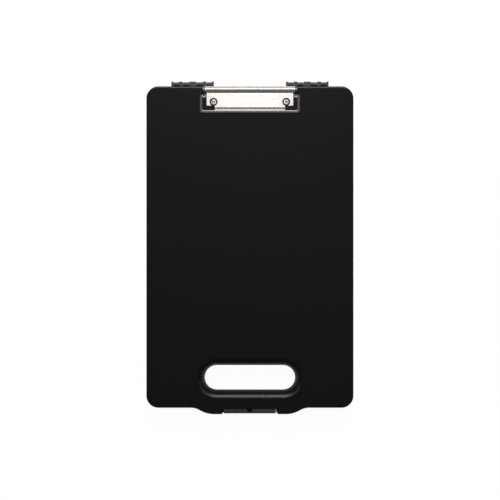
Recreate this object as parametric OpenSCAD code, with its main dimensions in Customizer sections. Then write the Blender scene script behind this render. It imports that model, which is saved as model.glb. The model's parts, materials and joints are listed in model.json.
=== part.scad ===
// Storage clipboard box: a shallow hinged case with a writing clip on its lid.
// It lies on its back. +X is right, +Y is up the board towards the hinges,
// +Z comes out of the writing face. The origin is the middle of the footprint.

/* [Case] */
// Width of the case
case_w = 240; // [228:1:270]
// Length of the case without its hinges and the bulge at the handle
case_l = 372.6; // [350:0.1:400]
// Radius of the case's four corners
corner_r = 14; // [9:0.5:20]
// Depth of the base, up to the parting plane
base_h = 19.5; // [17:0.5:30]
// Depth of the lid, from the parting plane to the writing face
lid_h = 10.5; // [10.5:0.5:16]
// Thickness of the moulded walls, floor and writing face
wall = 2.2; // [1.8:0.1:2.8]
// Rounding of the edge round the writing face
lid_edge_r = 2; // [1:0.1:2.5]
// Rounding of the edge round the underside
base_edge_r = 3; // [1:0.1:4]
// Rounding between the walls and the floor, inside
inner_edge_r = 1.2; // [0.6:0.1:2]
// Gap between lid and base when closed
parting_gap = 0.2; // [0.1:0.05:0.4]
// Chamfer along both sides of the parting line
parting_chamfer = 0.4; // [0.2:0.1:0.6]

/* [Locating rim] */
// Height of the base's rim above the parting line
rim_h = 2; // [1:0.1:3]
// Thickness of that rim
rim_t = 1.2; // [1:0.1:1.6]
// Gap between the rim and the lid's wall
rim_clear = 0.3; // [0.2:0.05:0.5]
// Height of the ledge that carries the rim
rim_root_h = 3; // [2:0.1:4]

/* [Handle] */
// Length of the hand slot
slot_l = 105.2; // [95:0.1:112]
// Width of the hand slot
slot_w = 28.5; // [26:0.1:32]
// Distance from the slot's middle to the case's lower edge
slot_up = 34.6; // [33:0.1:45]
// Rounding of the slot's front and back edges
slot_lip_r = 9.5; // [7:0.1:9.5]
// Drop of the bulge below the case's lower edge
bulge_drop = 7.4; // [6.8:0.1:9]
// Width of the bulge's flat bottom
bulge_flat_w = 82.6; // [78:0.1:90]
// Radius of the curve that leads out of the case's lower edge
bulge_in_r = 21; // [15:0.5:26]
// Radius of the curve that leads into the bulge's flat
bulge_out_r = 34; // [25:0.5:40]

/* [Inside] */
// Thickness of the wall between the paper and pen compartments
divider_t = 1.8; // [1.2:0.1:2.4]
// Height of that wall above the floor
divider_h = 15; // [10:0.5:16]
// Gap between that wall and the handle's rounded lip
divider_gap = 3.4; // [2:0.1:8]

/* [Hinges] */
// Distance from the middle of the case to the middle of a hinge
hinge_x = 66.5; // [60:0.5:80]
// Width of a hinge
hinge_w = 49.2; // [47:0.1:54]
// How far the hinges stand out past the case's upper edge
hinge_reach = 5.8; // [5.6:0.1:7]
// Gap between the knuckles and the case's upper wall
hinge_gap = 0.2; // [0.15:0.05:0.4]
// Height of the lid's hinge fins above the pin, and of the base's below it
hinge_fin_h = 8.5; // [6:0.1:9.5]
// Rounding of the fins' outer corner
hinge_fin_r = 1.6; // [0.8:0.1:2.4]
// Width of a hinge's middle fin
fin_mid_w = 7.8; // [5:0.1:9]
// Width of its two inner fins
fin_arm_w = 4.1; // [3:0.1:5]
// Distance from its middle to the middle of an inner fin
fin_arm_x = 13.65; // [13:0.05:14.5]
// Width of its two end fins
fin_end_w = 2.3; // [2:0.1:3]
// Side gap between a fin and a knuckle
knuckle_gap = 0.3; // [0.2:0.05:0.5]
// Diameter of the hinge pins
hinge_pin_d = 3; // [2.5:0.1:3.2]
// Radial gap round every pin, rod and rivet
pin_gap = 0.05; // [0.03:0.01:0.08]
// Skin left at the closed end of a hinge's bore
pin_skin = 0.8; // [0.5:0.1:1.2]

/* [Latch] */
// Width of the notch that the latch flap fills
notch_w = 64; // [60:0.5:68]
// Depth of that notch, from the bulge's flat
notch_d = 6.7; // [6.6:0.1:7.2]
// Thickness of the notch's side walls
notch_side_t = 3; // [2.4:0.1:4]
// Width of the base's cheeks beside the flap
flap_cheek_w = 1.3; // [1:0.1:1.5]
// Width of the latch flap
flap_w = 60.4; // [56:0.1:60.8]
// Height of the flap's top below the writing face
flap_down = 2.5; // [1:0.1:4]
// Thickness of the flap's plate
flap_t = 2; // [1.6:0.1:2.4]
// Rounding of the flap's upper edge
flap_edge_r = 1.4; // [0.8:0.1:1.6]
// Thickness of the ribs behind the flap's plate
flap_rib_t = 1.4; // [1:0.1:1.8]
// How far those ribs end short of the front of the flap's head
flap_rib_short = 0.7; // [0.4:0.1:1.5]
// Height of the flap's head
flap_head_h = 3; // [2.4:0.1:4]
// How far the flap lies behind the bulge's flat
flap_inset = 0.7; // [0.4:0.1:1]
// Gap between the flap's head and the lid
flap_clear = 0.2; // [0.15:0.05:0.4]
// Radius of the flap's knuckle
flap_knuckle_r = 2.7; // [2.4:0.05:2.8]
// Height of the flap's pin above the surface the case lies on
flap_pin_z = 4.5; // [4.2:0.1:6]
// Diameter of the flap's pin
flap_pin_d = 2.5; // [2:0.1:2.8]
// Width of the slot in the middle of the flap's head
flap_slot_w = 5.4; // [4:0.1:7]
// Side gap between that slot and the lid's rib
flap_slot_gap = 0.5; // [0.3:0.1:1]
// Radius of the groove in the lid that the flap's bead snaps into
catch_r = 0.9; // [0.6:0.1:1.2]
// Height of the bead on the flap's head
bead_h = 0.15; // [0.1:0.01:0.3]

/* [Clip] */
// Width of the clip across its turned-down rim
clip_w = 116; // [110:0.5:124]
// Distance from the case's upper edge to the middle of the clip's tube
clip_down = 4.5; // [4.2:0.1:6]
// Distance from the tube's middle to the clip's front lip
clip_reach = 26.3; // [26:0.1:32]
// Thickness of the clamp's sheet
clip_sheet_t = 0.9; // [0.8:0.05:1]
// Outside diameter of the rolled tube
clip_tube_d = 7.6; // [7.4:0.05:8]
// Length of the rolled tube
clip_tube_l = 104; // [103:0.1:108]
// Gap between the tube and the writing face
clip_tube_gap = 0.4; // [0.3:0.05:0.8]
// Width of the raised panel
panel_w = 101.4; // [101:0.1:103]
// Distance from the tube's middle to the step at the panel's front
panel_reach = 21.2; // [21:0.1:21.6]
// Height of the panel's top above the writing face
panel_h = 4; // [3.9:0.1:4.4]
// Drop of the step from the panel to the ledge
step_drop = 1.6; // [1.4:0.1:1.7]
// Gap between the turned-down rim and the writing face
rim_float = 0.3; // [0.2:0.05:0.5]
// Radius of the rim's corners, seen from the front
rim_corner_r = 3; // [2.6:0.1:4]
// Distance from the tube's middle to the back end of the rim
rim_start = 5.8; // [5.8:0.1:8]
// Gap between the clamp's edges and the ears that pass through it
ear_slot_gap = 0.7; // [0.4:0.1:0.8]
// Height of the tube's lower part that is left shut under the springs
spring_floor = 1.2; // [1:0.1:1.4]

/* [Clip pads] */
// Width of the pads' side leg
pad_side_w = 4.6; // [3.5:0.1:4.8]
// Width of the pads' front leg
pad_front_w = 4.9; // [3.5:0.1:5]
// Distance from the tube's middle to the front of a pad
pad_reach = 23.1; // [23:0.1:23.4]
// Distance from the middle of the clip to a pad's outer side
pad_x = 55.1; // [54.6:0.1:55.4]
// Length of a pad along the clip's side
pad_side_l = 14.4; // [10:0.1:14.6]
// Length of a pad along the clip's front
pad_front_l = 14.3; // [8:0.1:14.8]
// Chamfer at the pads' outer corner
pad_chamfer = 1.4; // [0.8:0.1:2]
// How far a pad's foot reaches under the sheet
pad_flange = 0.4; // [0.2:0.1:0.5]
// Gap between a pad and its window
pad_gap = 0.15; // [0.1:0.05:0.25]
// Height of the pads' top below the panel's top
pad_down = 1; // [0.6:0.1:1.4]

/* [Clip fastening] */
// Distance from the middle of the clip to a rivet
rivet_x = 42; // [38:0.5:43]
// Distance from the tube's middle back to the rivets
rivet_back = 14.2; // [12:0.1:14.3]
// Diameter of the rivets' shank
rivet_d = 4.4; // [3.6:0.1:5]
// Diameter of the rivets' head
rivet_head_d = 6.8; // [6:0.1:7.6]
// Height of the rivets' head
rivet_head_h = 1.3; // [1:0.1:1.6]
// Rounding of the head's edge
rivet_edge_r = 0.8; // [0.4:0.1:0.9]
// Width of the dimple in the rivets' head
rivet_dimple_w = 3.5; // [2.5:0.1:4]
// Depth of that dimple
rivet_dimple_h = 0.9; // [0.4:0.1:1]
// Diameter of the panel's hole over a rivet
rivet_window_d = 9.5; // [8.6:0.1:10]
// Thickness of the clip's base plate
clip_base_t = 1; // [0.8:0.1:1.1]
// Width of the base plate
clip_base_w = 98; // [94:0.5:100]
// Depth of the base plate, front to back
clip_base_d = 12.4; // [11:0.1:12.5]
// Gap between the tube and the base plate
clip_base_gap = 0.9; // [0.6:0.1:1.4]
// Gap between the tube's ends and the ears
ear_gap = 0.6; // [0.4:0.1:0.8]
// How far the ears' feet reach in front of the rod
ear_reach = 6.8; // [6.6:0.1:7.4]
// Radius of the ears round the rod
ear_r = 3.4; // [3:0.1:3.7]
// Diameter of the rod in the tube
rod_d = 3; // [2.6:0.1:3.1]
// Diameter of the rod's peened ends
rod_head_d = 4.4; // [4:0.1:5]
// Thickness of the rod's peened ends
rod_head_t = 0.7; // [0.5:0.1:1]
// Outside diameter of the washers inside the lid
washer_d = 9; // [8:0.1:11]
// Thickness of those washers
washer_t = 0.8; // [0.6:0.1:1]

/* [Clip springs] */
// Diameter of the spring wire
spring_wire_d = 1; // [0.8:0.05:1]
// Number of turns in a spring
spring_turns = 8; // [5:1:9]
// Distance between one turn and the next
spring_pitch = 1.6; // [1.5:0.05:1.7]
// Distance from the middle of the clip to the middle of a spring
spring_x = 30; // [24:0.5:32]
// Length of the front leg, which bears on the base plate
spring_leg = 9; // [7:0.1:10]
// Length of the rear leg, which hooks into the tube's window
spring_hook = 3.3; // [3:0.1:3.4]
// Drop of that leg's end below the rod's middle
spring_hook_drop = 1.9; // [1.7:0.1:2.1]

/* [Hidden] */
$fn = 64;

black = "#1b1b1c";
latch_black = "#2b2b2c";
nickel = "#cfcac3";
steel = "#a9a9a6";
rubber = "#0c0c0c";
bite = 0.5;     // how far one shape runs into the next where they join
past = 1;       // how far a cutter runs past the face it opens

// Case outline
side_x = case_w / 2;
y_top = (case_l + bulge_drop + hinge_reach) / 2 - hinge_reach;
y_bottom = y_top - case_l;
y_bulge = y_bottom - bulge_drop;
bulge_flat = bulge_flat_w / 2;
bulge_turn = acos(1 - bulge_drop / (bulge_in_r + bulge_out_r));
bulge_x = bulge_flat + (bulge_in_r + bulge_out_r) * sin(bulge_turn);
bulge_cross = 0.06;   // the bulge's curves cross by this much, because a bare touch makes no clean edge
bulge_end_x = bulge_x - bulge_cross;
face_z = base_h + lid_h;
base_top = base_h - parting_gap / 2;
lid_bottom = base_h + parting_gap / 2;
lid_inside_z = face_z - wall;

// Handle
slot_y = y_bottom + slot_up;
slot_r = slot_w / 2;
slot_straight = (slot_l - slot_w) / 2;
divider_y = slot_y + slot_r + slot_lip_r + divider_gap;

// Hinges
hinge_r = (hinge_reach - hinge_gap) / 2;
hinge_y = y_top + hinge_gap + hinge_r;
hinge_z = base_h;
pin_bore_r = hinge_pin_d / 2 + pin_gap;
pocket_in = [fin_mid_w / 2, fin_arm_x - fin_arm_w / 2];
pocket_out = [fin_arm_x + fin_arm_w / 2, hinge_w / 2 - fin_end_w];
lid_fins = [[-fin_mid_w / 2, fin_mid_w / 2],
    [pocket_in[1], pocket_out[0]], [-pocket_out[0], -pocket_in[1]],
    [pocket_out[1], hinge_w / 2], [-hinge_w / 2, -pocket_out[1]]];
base_knuckles = [for (s = [-1, 1], p = [pocket_in, pocket_out])
    [min(s * p[0], s * p[1]) + knuckle_gap, max(s * p[0], s * p[1]) - knuckle_gap]];

// Latch
notch_y = y_bulge + notch_d;
notch_x = notch_w / 2;
flap_out_y = y_bulge + flap_inset;
flap_pin_y = flap_out_y + flap_knuckle_r;
flap_top_z = face_z - flap_down;
flap_head_z = flap_top_z - flap_head_h;
flap_head_y = notch_y - flap_clear - bead_h;
flap_shift = -(notch_w - 2 * flap_cheek_w - flap_w) / 5;   // the flap lies a little to the left
catch_z = flap_top_z - flap_head_h / 2;
latch_bore_r = flap_pin_d / 2 + pin_gap;

// Clip
tube_r = clip_tube_d / 2;
clip_y = y_top - clip_down;
clip_z = face_z + clip_tube_gap + tube_r;
panel_top = face_z + panel_h;
panel_x = panel_w / 2;
panel_y = clip_y - panel_reach;
ledge_top = panel_top - step_drop;
lip_y = clip_y - clip_reach;
rim_bend_r = ledge_top - face_z - rim_float;
rivet_y = clip_y - rivet_back;
base_plate_back = clip_y - tube_r - clip_base_gap;
base_plate_front = base_plate_back - clip_base_d;
ear_x = clip_tube_l / 2 + ear_gap;
ear_front = clip_y - ear_reach;
pad_front_y = clip_y - pad_reach;
ear_slot = [ear_x - ear_slot_gap, ear_x + clip_base_t + ear_slot_gap];
ear_slot_w = ear_slot[1] - ear_slot[0];
rim_back = clip_y - rim_start;
coil_r = (rod_d / 2 + tube_r - clip_sheet_t) / 2;
coil_steps = 8;
wire_sides = 6;

// ---------- outline of the case, and shapes swept along it ----------

// The case's outline without its bulge, drawn in by inset on every side
module case_outline(inset) {
    r = corner_r - inset;
    for (s = [-1, 1], y = [y_bottom + corner_r, y_top - corner_r])
        translate([s * (side_x - corner_r), y])
            circle(r);
    translate([-side_x + inset, y_bottom + corner_r])
        square([case_w - 2 * inset, case_l - 2 * corner_r]);
    translate([-side_x + corner_r, y_bottom + inset])
        square([case_w - 2 * corner_r, case_l - 2 * inset]);
}

// The whole outline, drawn in by inset on every side
module outline(inset) {
    case_outline(inset);
    bulge_outline(inset);
}

// Where the two curves of the bulge's right-hand end meet
function bulge_join(inset) = [bulge_flat, y_bulge + bulge_out_r]
    + (bulge_out_r - inset) * [sin(bulge_turn), -cos(bulge_turn)];

// The bulge below the handle: a flat with an S-curve at each end
module bulge_outline(inset) {
    low = y_bulge + inset;
    high = y_bottom + inset + past;
    join_x = bulge_join(inset)[0];
    join_y = bulge_join(inset)[1];
    translate([-bulge_flat, low])
        square([2 * bulge_flat, high - low]);
    for (s = [0, 1])
        mirror([s, 0]) {
            intersection() {
                translate([bulge_flat, y_bulge + bulge_out_r])
                    circle(bulge_out_r - inset);
                translate([bulge_flat - bite, low - past])
                    square([join_x - bulge_flat + bite, high - low + past]);
            }
            difference() {
                translate([join_x, join_y - past])
                    square([bulge_end_x - join_x, high - join_y + past]);
                translate([bulge_end_x, y_bottom - bulge_in_r + bulge_cross])
                    circle(bulge_in_r + inset);
            }
        }
}

// A profile pushed from p to q. Its first axis points to the left of that way.
module run(p, q) {
    translate([p[0], p[1], 0])
        rotate([90, 0, atan2(q[1] - p[1], q[0] - p[0]) + 90])
            linear_extrude(norm(q - p))
                children();
}

// A profile turned about centre, its first axis pointing towards it
module turn_in(centre, r, from, sweep) {
    translate([centre[0], centre[1], 0])
        rotate([0, 0, from])
            rotate_extrude(angle = sweep)
                translate([r, 0])
                    mirror([1, 0])
                        children();
}

// A profile turned about centre, its first axis pointing away from it
module turn_out(centre, r, from, sweep) {
    translate([centre[0], centre[1], 0])
        rotate([0, 0, from])
            rotate_extrude(angle = sweep)
                translate([r, 0])
                    children();
}

// A profile swept round the case's rounded rectangle, its first axis pointing inwards
module around(inset) {
    cx = side_x - corner_r;
    low = y_bottom + corner_r;
    high = y_top - corner_r;
    r = corner_r - inset;
    run([-cx, y_bottom + inset], [cx, y_bottom + inset]) children();
    run([side_x - inset, low], [side_x - inset, high]) children();
    run([cx, y_top - inset], [-cx, y_top - inset]) children();
    run([-side_x + inset, high], [-side_x + inset, low]) children();
    turn_in([cx, low], r, 270, 90) children();
    turn_in([cx, high], r, 0, 90) children();
    turn_in([-cx, high], r, 90, 90) children();
    turn_in([-cx, low], r, 180, 90) children();
}

// A profile swept round the hand slot, its first axis pointing away from the slot
module around_slot() {
    s = slot_straight;
    run([-s, slot_y + slot_r], [s, slot_y + slot_r]) children();
    run([s, slot_y - slot_r], [-s, slot_y - slot_r]) children();
    turn_out([s, slot_y], slot_r, 270, 180) children();
    turn_out([-s, slot_y], slot_r, 90, 180) children();
}

// The slot's outline, grown by grow
module slot_outline(grow) {
    r = slot_r + grow;
    for (s = [-1, 1])
        translate([s * slot_straight, slot_y])
            circle(r);
    translate([-slot_straight, slot_y - r])
        square([2 * slot_straight, 2 * r]);
}

// A slab's edge: rounded at the bottom, chamfered at the top, h high
module edge_profile(h, r, chamfer) {
    polygon([[0, r], [r, r], [r, h], [chamfer, h], [0, h - chamfer]]);
    intersection() {
        translate([r, r])
            circle(r);
        square(r);
    }
}

// A slab of the outline with its lower edge rounded and its upper one chamfered
module slab(inset, h, r, chamfer) {
    around(inset)
        edge_profile(h, r, chamfer);
    linear_extrude(h)
        case_outline(inset + r);
    run([-bulge_flat, y_bulge + inset], [bulge_flat, y_bulge + inset]) {
        edge_profile(h, r, chamfer);
        translate([r, 0])
            square([bulge_drop + bite, h]);
    }
    for (s = [-1, 1])
        bulge_end(s, inset, h, r, chamfer);
}

// The S-curve at one end of the bulge. A coin makes its outer half, and a flared
// cutter takes its inner half out of a block.
module bulge_end(side, inset, h, r, chamfer) {
    join_x = bulge_join(inset)[0];
    join_y = bulge_join(inset)[1];
    coin_r = bulge_out_r - inset;
    intersection() {
        translate([side * bulge_flat, y_bulge + bulge_out_r, 0])
            rotate_extrude() {
                translate([coin_r, 0])
                    mirror([1, 0])
                        edge_profile(h, r, chamfer);
                square([coin_r - r, h]);
            }
        translate([side > 0 ? bulge_flat : -bulge_flat - bulge_out_r, y_bulge - past, -past])
            cube([bulge_out_r, bulge_drop + 2 * corner_r, h + 2 * past]);
    }
    difference() {
        translate([side > 0 ? join_x : -bulge_end_x, join_y - past, 0])
            cube([bulge_end_x - join_x, y_bottom + inset + r + past - join_y + past, h]);
        translate([side * bulge_end_x, y_bottom - bulge_in_r + bulge_cross, 0])
            rotate_extrude()
                difference() {
                    translate([0, -past])
                        square([bulge_in_r + inset + r, h + 2 * past]);
                    translate([bulge_in_r + inset, 0])
                        edge_profile(h, r, chamfer);
                }
    }
}

// The slot's wall with its rounded lip at the bottom: v leads away from the slot
module slot_wall(h) {
    r = slot_lip_r;
    difference() {
        intersection() {
            translate([r, r])
                circle(r);
            square(r);
        }
        translate([r, r])
            circle(r - wall);
    }
    translate([0, r])
        square([wall, h - r]);
}

// The notch's outline, grown by grow. Its side walls are thicker than its back wall.
module notch_outline(grow) {
    side = grow > 0 ? grow + notch_side_t - wall : 0;
    translate([-notch_x - side, y_bulge - past])
        square([2 * (notch_x + side), notch_y - y_bulge + past + grow]);
}

// One half of the case, opening upwards: an edge-rounded tray with the walls of its notch and slot
module half_shell(h, edge_r) {
    difference() {
        union() {
            difference() {
                slab(0, h, edge_r, parting_chamfer);
                translate([0, 0, wall])
                    slab(wall, h, inner_edge_r, 0);
            }
            linear_extrude(h - parting_chamfer)
                intersection() {
                    outline(wall / 2);
                    notch_outline(wall);
                }
        }
        translate([0, 0, -past])
            linear_extrude(h + 2 * past)
                notch_outline(0);
        translate([0, 0, -past])
            linear_extrude(wall + 2 * past)
                slot_outline(slot_lip_r);
    }
    around_slot()
        slot_wall(h);
}

// ---------- hinges ----------

// A fin's side view. Its first axis is +Y and its second one +Z, up from the pin.
module fin_profile(wall_start) {
    r = hinge_fin_r;
    circle(hinge_r);
    translate([-hinge_r - hinge_gap, 0])
        square([2 * hinge_r + hinge_gap - r, hinge_fin_h]);
    square([hinge_r, hinge_fin_h - r]);
    translate([hinge_r - r, hinge_fin_h - r])
        circle(r);
    translate([-hinge_r - hinge_gap - wall / 2, wall_start])
        square([wall / 2 + bite, hinge_fin_h - wall_start]);
}

// Each [from, to] span as a fin on both hinges
module fins(spans) {
    for (s = [-1, 1], span = spans)
        translate([s * hinge_x + span[0], hinge_y, hinge_z])
            rotate([90, 0, 90])
                linear_extrude(span[1] - span[0])
                    children();
}

// The pins' bores. Each is closed by a skin at the end that faces the middle of the case.
module hinge_bores() {
    for (s = [-1, 1])
        translate([s * (hinge_x + (pin_skin + past) / 2), hinge_y, hinge_z])
            rotate([0, 90, 0])
                cylinder(h = hinge_w - pin_skin + past, r = pin_bore_r, center = true);
}

module hinge_pin(side) {
    color(steel)
        translate([side * (hinge_x + pin_skin / 2), hinge_y, hinge_z])
            rotate([0, 90, 0])
                cylinder(h = hinge_w - pin_skin - 2 * knuckle_gap, d = hinge_pin_d, center = true);
}

// ---------- base and lid ----------

// The rim that locates the lid, on its ledge inside the base's wall
module locating_rim() {
    inner = wall + rim_clear + rim_t;
    translate([0, 0, base_top - rim_root_h])
        linear_extrude(rim_root_h)
            difference() {
                outline(wall - bite);
                outline(inner);
                notch_outline(wall - bite);
            }
    translate([0, 0, base_top - rim_root_h])
        linear_extrude(rim_root_h)
            intersection() {
                difference() {
                    notch_outline(inner);
                    notch_outline(wall - bite);
                }
                outline(wall - bite);
            }
    translate([0, 0, base_top - bite])
        linear_extrude(rim_h + bite)
            difference() {
                rim_outline(wall + rim_clear);
                rim_outline(inner);
            }
}

// The outline with its notch, drawn in by inset
module rim_outline(inset) {
    difference() {
        outline(inset);
        notch_outline(inset);
    }
}

// The cheeks that close the notch beside the flap, flush with the flap's face
module latch_cheeks() {
    for (s = [0, 1])
        mirror([s, 0, 0])
            translate([notch_x - flap_cheek_w, 0, 0])
                rotate([90, 0, 90])
                    linear_extrude(flap_cheek_w + bite)
                        polygon([
                            [flap_out_y + base_edge_r, 0], [flap_out_y, base_edge_r], [flap_out_y, base_top],
                            [notch_y + bite, base_top], [notch_y + bite, 0]
                        ]);
}

module base_tray() {
    color(black)
        difference() {
            union() {
                half_shell(base_top, base_edge_r);
                locating_rim();
                latch_cheeks();
                translate([-side_x + wall / 2, divider_y, wall - bite])
                    cube([case_w - wall, divider_t, divider_h + bite]);
                fins(base_knuckles)
                    mirror([0, 1])
                        fin_profile(parting_gap / 2);
            }
            hinge_bores();
            translate([0, flap_pin_y, flap_pin_z])
                rotate([0, 90, 0])
                    cylinder(h = notch_w + 4 * notch_side_t, r = latch_bore_r, center = true);
        }
}

module lid_board() {
    color(black)
        difference() {
            union() {
                translate([0, 0, face_z])
                    mirror([0, 0, 1])
                        half_shell(face_z - lid_bottom, lid_edge_r);
                fins(lid_fins)
                    fin_profile(parting_gap / 2);
                latch_rib();
            }
            hinge_bores();
            for (s = [-1, 1])
                translate([s * rivet_x, rivet_y, lid_inside_z - past])
                    cylinder(h = wall + 2 * past, r = rivet_d / 2 + pin_gap);
            translate([0, notch_y, catch_z])
                rotate([0, 90, 0])
                    cylinder(h = flap_w, r = catch_r, center = true);
        }
}

// The rib on the lid that stands in the slot of the flap's head
module latch_rib() {
    w = flap_slot_w - 2 * flap_slot_gap;
    front = flap_pin_y + flap_clear;
    translate([flap_shift - w / 2, front, lid_bottom])
        cube([w, notch_y + wall / 2 - front, flap_top_z - flap_slot_gap - lid_bottom]);
}

// ---------- latch ----------

// The flap's side view, its origin on the pin
module flap_profile() {
    top = flap_top_z - flap_pin_z;
    under = flap_head_z - flap_pin_z;
    r = flap_edge_r;
    head = flap_head_y - flap_out_y;
    circle(flap_knuckle_r);
    translate([-flap_knuckle_r, 0])
        square([flap_t, top - r]);
    translate([-flap_knuckle_r + r, top - r])
        circle(r);
    translate([-flap_knuckle_r + r, under])
        square([head - r, top - under]);
    translate([-flap_knuckle_r + head, catch_z - flap_pin_z])
        circle(bead_h);
}

module latch_flap() {
    rib_y = flap_head_y - flap_out_y - flap_t - flap_rib_short;
    color(latch_black)
        translate([flap_shift, flap_pin_y, flap_pin_z])
            difference() {
                union() {
                    translate([-flap_w / 2, 0, 0])
                        rotate([90, 0, 90])
                            linear_extrude(flap_w)
                                flap_profile();
                    for (x = [-flap_w / 2, -flap_w / 4, flap_w / 4 - flap_rib_t, flap_w / 2 - flap_rib_t])
                        translate([x, -flap_knuckle_r + flap_t - bite, 0])
                            cube([flap_rib_t, rib_y + bite, flap_head_z - flap_pin_z + bite]);
                }
                rotate([0, 90, 0])
                    cylinder(h = flap_w + 2 * past, r = latch_bore_r, center = true);
                translate([-flap_slot_w / 2, -flap_knuckle_r + flap_t, flap_knuckle_r + past])
                    cube([flap_slot_w, 2 * flap_knuckle_r, flap_top_z]);
            }
}

module latch_pin() {
    color(steel)
        translate([0, flap_pin_y, flap_pin_z])
            rotate([0, 90, 0])
                cylinder(h = notch_w + 2 * notch_side_t - 2 * knuckle_gap, d = flap_pin_d, center = true);
}

// ---------- clip ----------

// The step from panel to ledge. Its first axis points away from the panel.
module step_profile() {
    r = step_drop / 2;
    t = clip_sheet_t;
    mid = panel_top - r;
    translate([-r - bite, panel_top - t])
        square([bite, t]);
    intersection() {
        translate([-r, mid])
            circle(r);
        translate([-r, mid])
            square(r);
    }
    translate([-t, ledge_top - t])
        square([t, mid - ledge_top + t]);
    difference() {
        translate([0, ledge_top - t])
            square([r, r + t]);
        translate([r, mid])
            circle(r);
    }
}

// The turned-down rim. Its first axis points inwards from the rim's outer face.
module rim_profile() {
    r = rim_bend_r;
    low = ledge_top - r;
    difference() {
        intersection() {
            translate([r, low])
                circle(r);
            translate([0, low])
                square(r);
        }
        translate([r, low])
            circle(r - clip_sheet_t);
    }
}

// A pad's outline on the right-hand side, grown by grow, with a chamfered outer corner
module pad_outline(grow, outer_grow) {
    far = pad_x + outer_grow;
    front = pad_front_y - outer_grow;
    c = pad_chamfer;
    polygon([
        [far - c, front], [far, front + c], [far, pad_front_y + pad_side_l + grow],
        [pad_x - pad_side_w - grow, pad_front_y + pad_side_l + grow],
        [pad_x - pad_side_w - grow, pad_front_y + pad_front_w + grow],
        [pad_x - pad_front_l - grow, pad_front_y + pad_front_w + grow],
        [pad_x - pad_front_l - grow, front]
    ]);
}

// The flat ledge between the panel and the turned-down rim
module ledge_outline() {
    half = clip_w / 2;
    cr = rim_corner_r;
    br = rim_bend_r;
    difference() {
        union() {
            translate([-half + br, lip_y + cr])
                square([clip_w - 2 * br, rim_back - lip_y - cr]);
            translate([-half + cr, lip_y + br])
                square([clip_w - 2 * cr, cr]);
            for (s = [-1, 1])
                translate([s * (half - cr), lip_y + cr])
                    circle(cr - br);
        }
        translate([-panel_x - step_drop / 2, panel_y - step_drop / 2])
            square([panel_w + step_drop, rim_back - panel_y + step_drop]);
    }
}

module clamp_sheet() {
    half = clip_w / 2;
    cr = rim_corner_r;
    r = step_drop / 2;
    // Raised panel, running back into the tube
    translate([-panel_x + r, panel_y + r, panel_top - clip_sheet_t])
        cube([panel_w - 2 * r, panel_reach - r - tube_r + clip_sheet_t / 2, clip_sheet_t]);
    // Step at the front and along both sides
    run([panel_x, panel_y], [-panel_x, panel_y]) step_profile();
    run([panel_x, rim_back], [panel_x, panel_y]) step_profile();
    run([-panel_x, panel_y], [-panel_x, rim_back]) step_profile();
    translate([0, 0, ledge_top - clip_sheet_t])
        linear_extrude(clip_sheet_t)
            ledge_outline();
    // Turned-down rim
    run([-half, rim_back], [-half, lip_y + cr]) rim_profile();
    run([-half + cr, lip_y], [half - cr, lip_y]) rim_profile();
    run([half, lip_y + cr], [half, rim_back]) rim_profile();
    turn_in([-half + cr, lip_y + cr], cr, 180, 90) rim_profile();
    turn_in([half - cr, lip_y + cr], cr, 270, 90) rim_profile();
}

module clip_clamp_plate() {
    window_l = spring_turns * spring_pitch + 3 * spring_wire_d;
    color(nickel)
        difference() {
            union() {
                clamp_sheet();
                translate([0, clip_y, clip_z])
                    rotate([0, 90, 0])
                        difference() {
                            cylinder(h = clip_tube_l, r = tube_r, center = true);
                            cylinder(h = clip_tube_l + past, r = tube_r - clip_sheet_t, center = true);
                        }
            }
            for (s = [0, 1])
                mirror([s, 0, 0])
                    translate([0, 0, face_z])
                        linear_extrude(panel_h + past)
                            pad_outline(pad_gap, pad_gap);
            for (s = [-1, 1]) {
                translate([s * rivet_x, rivet_y, face_z])
                    cylinder(h = panel_h + past, d = rivet_window_d);
                translate([s * (ear_slot[0] + ear_slot[1]) / 2 - ear_slot_w / 2, ear_front - ear_slot_gap, face_z])
                    cube([ear_slot_w, rim_back - ear_front + ear_slot_gap + past, panel_h + past]);
                translate([s * spring_x - window_l / 2, clip_y - tube_r - past, clip_z - tube_r - past])
                    cube([window_l, 2 * tube_r + 2 * past, tube_r + past - spring_floor]);
            }
        }
}

module clip_base_plate() {
    back = base_plate_back;
    color(nickel)
        difference() {
            union() {
                translate([-clip_base_w / 2, base_plate_front, face_z])
                    cube([clip_base_w, clip_base_d, clip_base_t]);
                translate([-ear_x - clip_base_t, ear_front, face_z])
                    cube([2 * (ear_x + clip_base_t), back - ear_front, clip_base_t]);
                for (s = [-1, 1])
                    translate([s * (ear_x + clip_base_t / 2) - clip_base_t / 2, clip_y, clip_z])
                        rotate([90, 0, 90])
                            linear_extrude(clip_base_t)
                                ear_profile();
            }
            for (s = [-1, 1])
                translate([s * rivet_x, rivet_y, face_z - past])
                    cylinder(h = clip_base_t + 2 * past, r = rivet_d / 2 + pin_gap);
            translate([0, clip_y, clip_z])
                rotate([0, 90, 0])
                    cylinder(h = 2 * (ear_x + clip_base_t + past), r = rod_d / 2 + pin_gap, center = true);
        }
}

// An ear's side view, its origin on the rod
module ear_profile() {
    low = face_z - clip_z;
    circle(ear_r);
    translate([-ear_r, low])
        square([2 * ear_r, -low]);
    polygon([[ear_front - clip_y, low], [0, low], [0, 0], [-ear_r, 0], [ear_front - clip_y, low + clip_base_t]]);
}

module clip_hinge_rod() {
    half = ear_x + clip_base_t + pin_gap;
    color(steel)
        translate([0, clip_y, clip_z])
            rotate([0, 90, 0]) {
                cylinder(h = 2 * half + rod_head_t, d = rod_d, center = true);
                for (z = [-half - rod_head_t, half])
                    translate([0, 0, z])
                        cylinder(h = rod_head_t, d = rod_head_d);
            }
}

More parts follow.
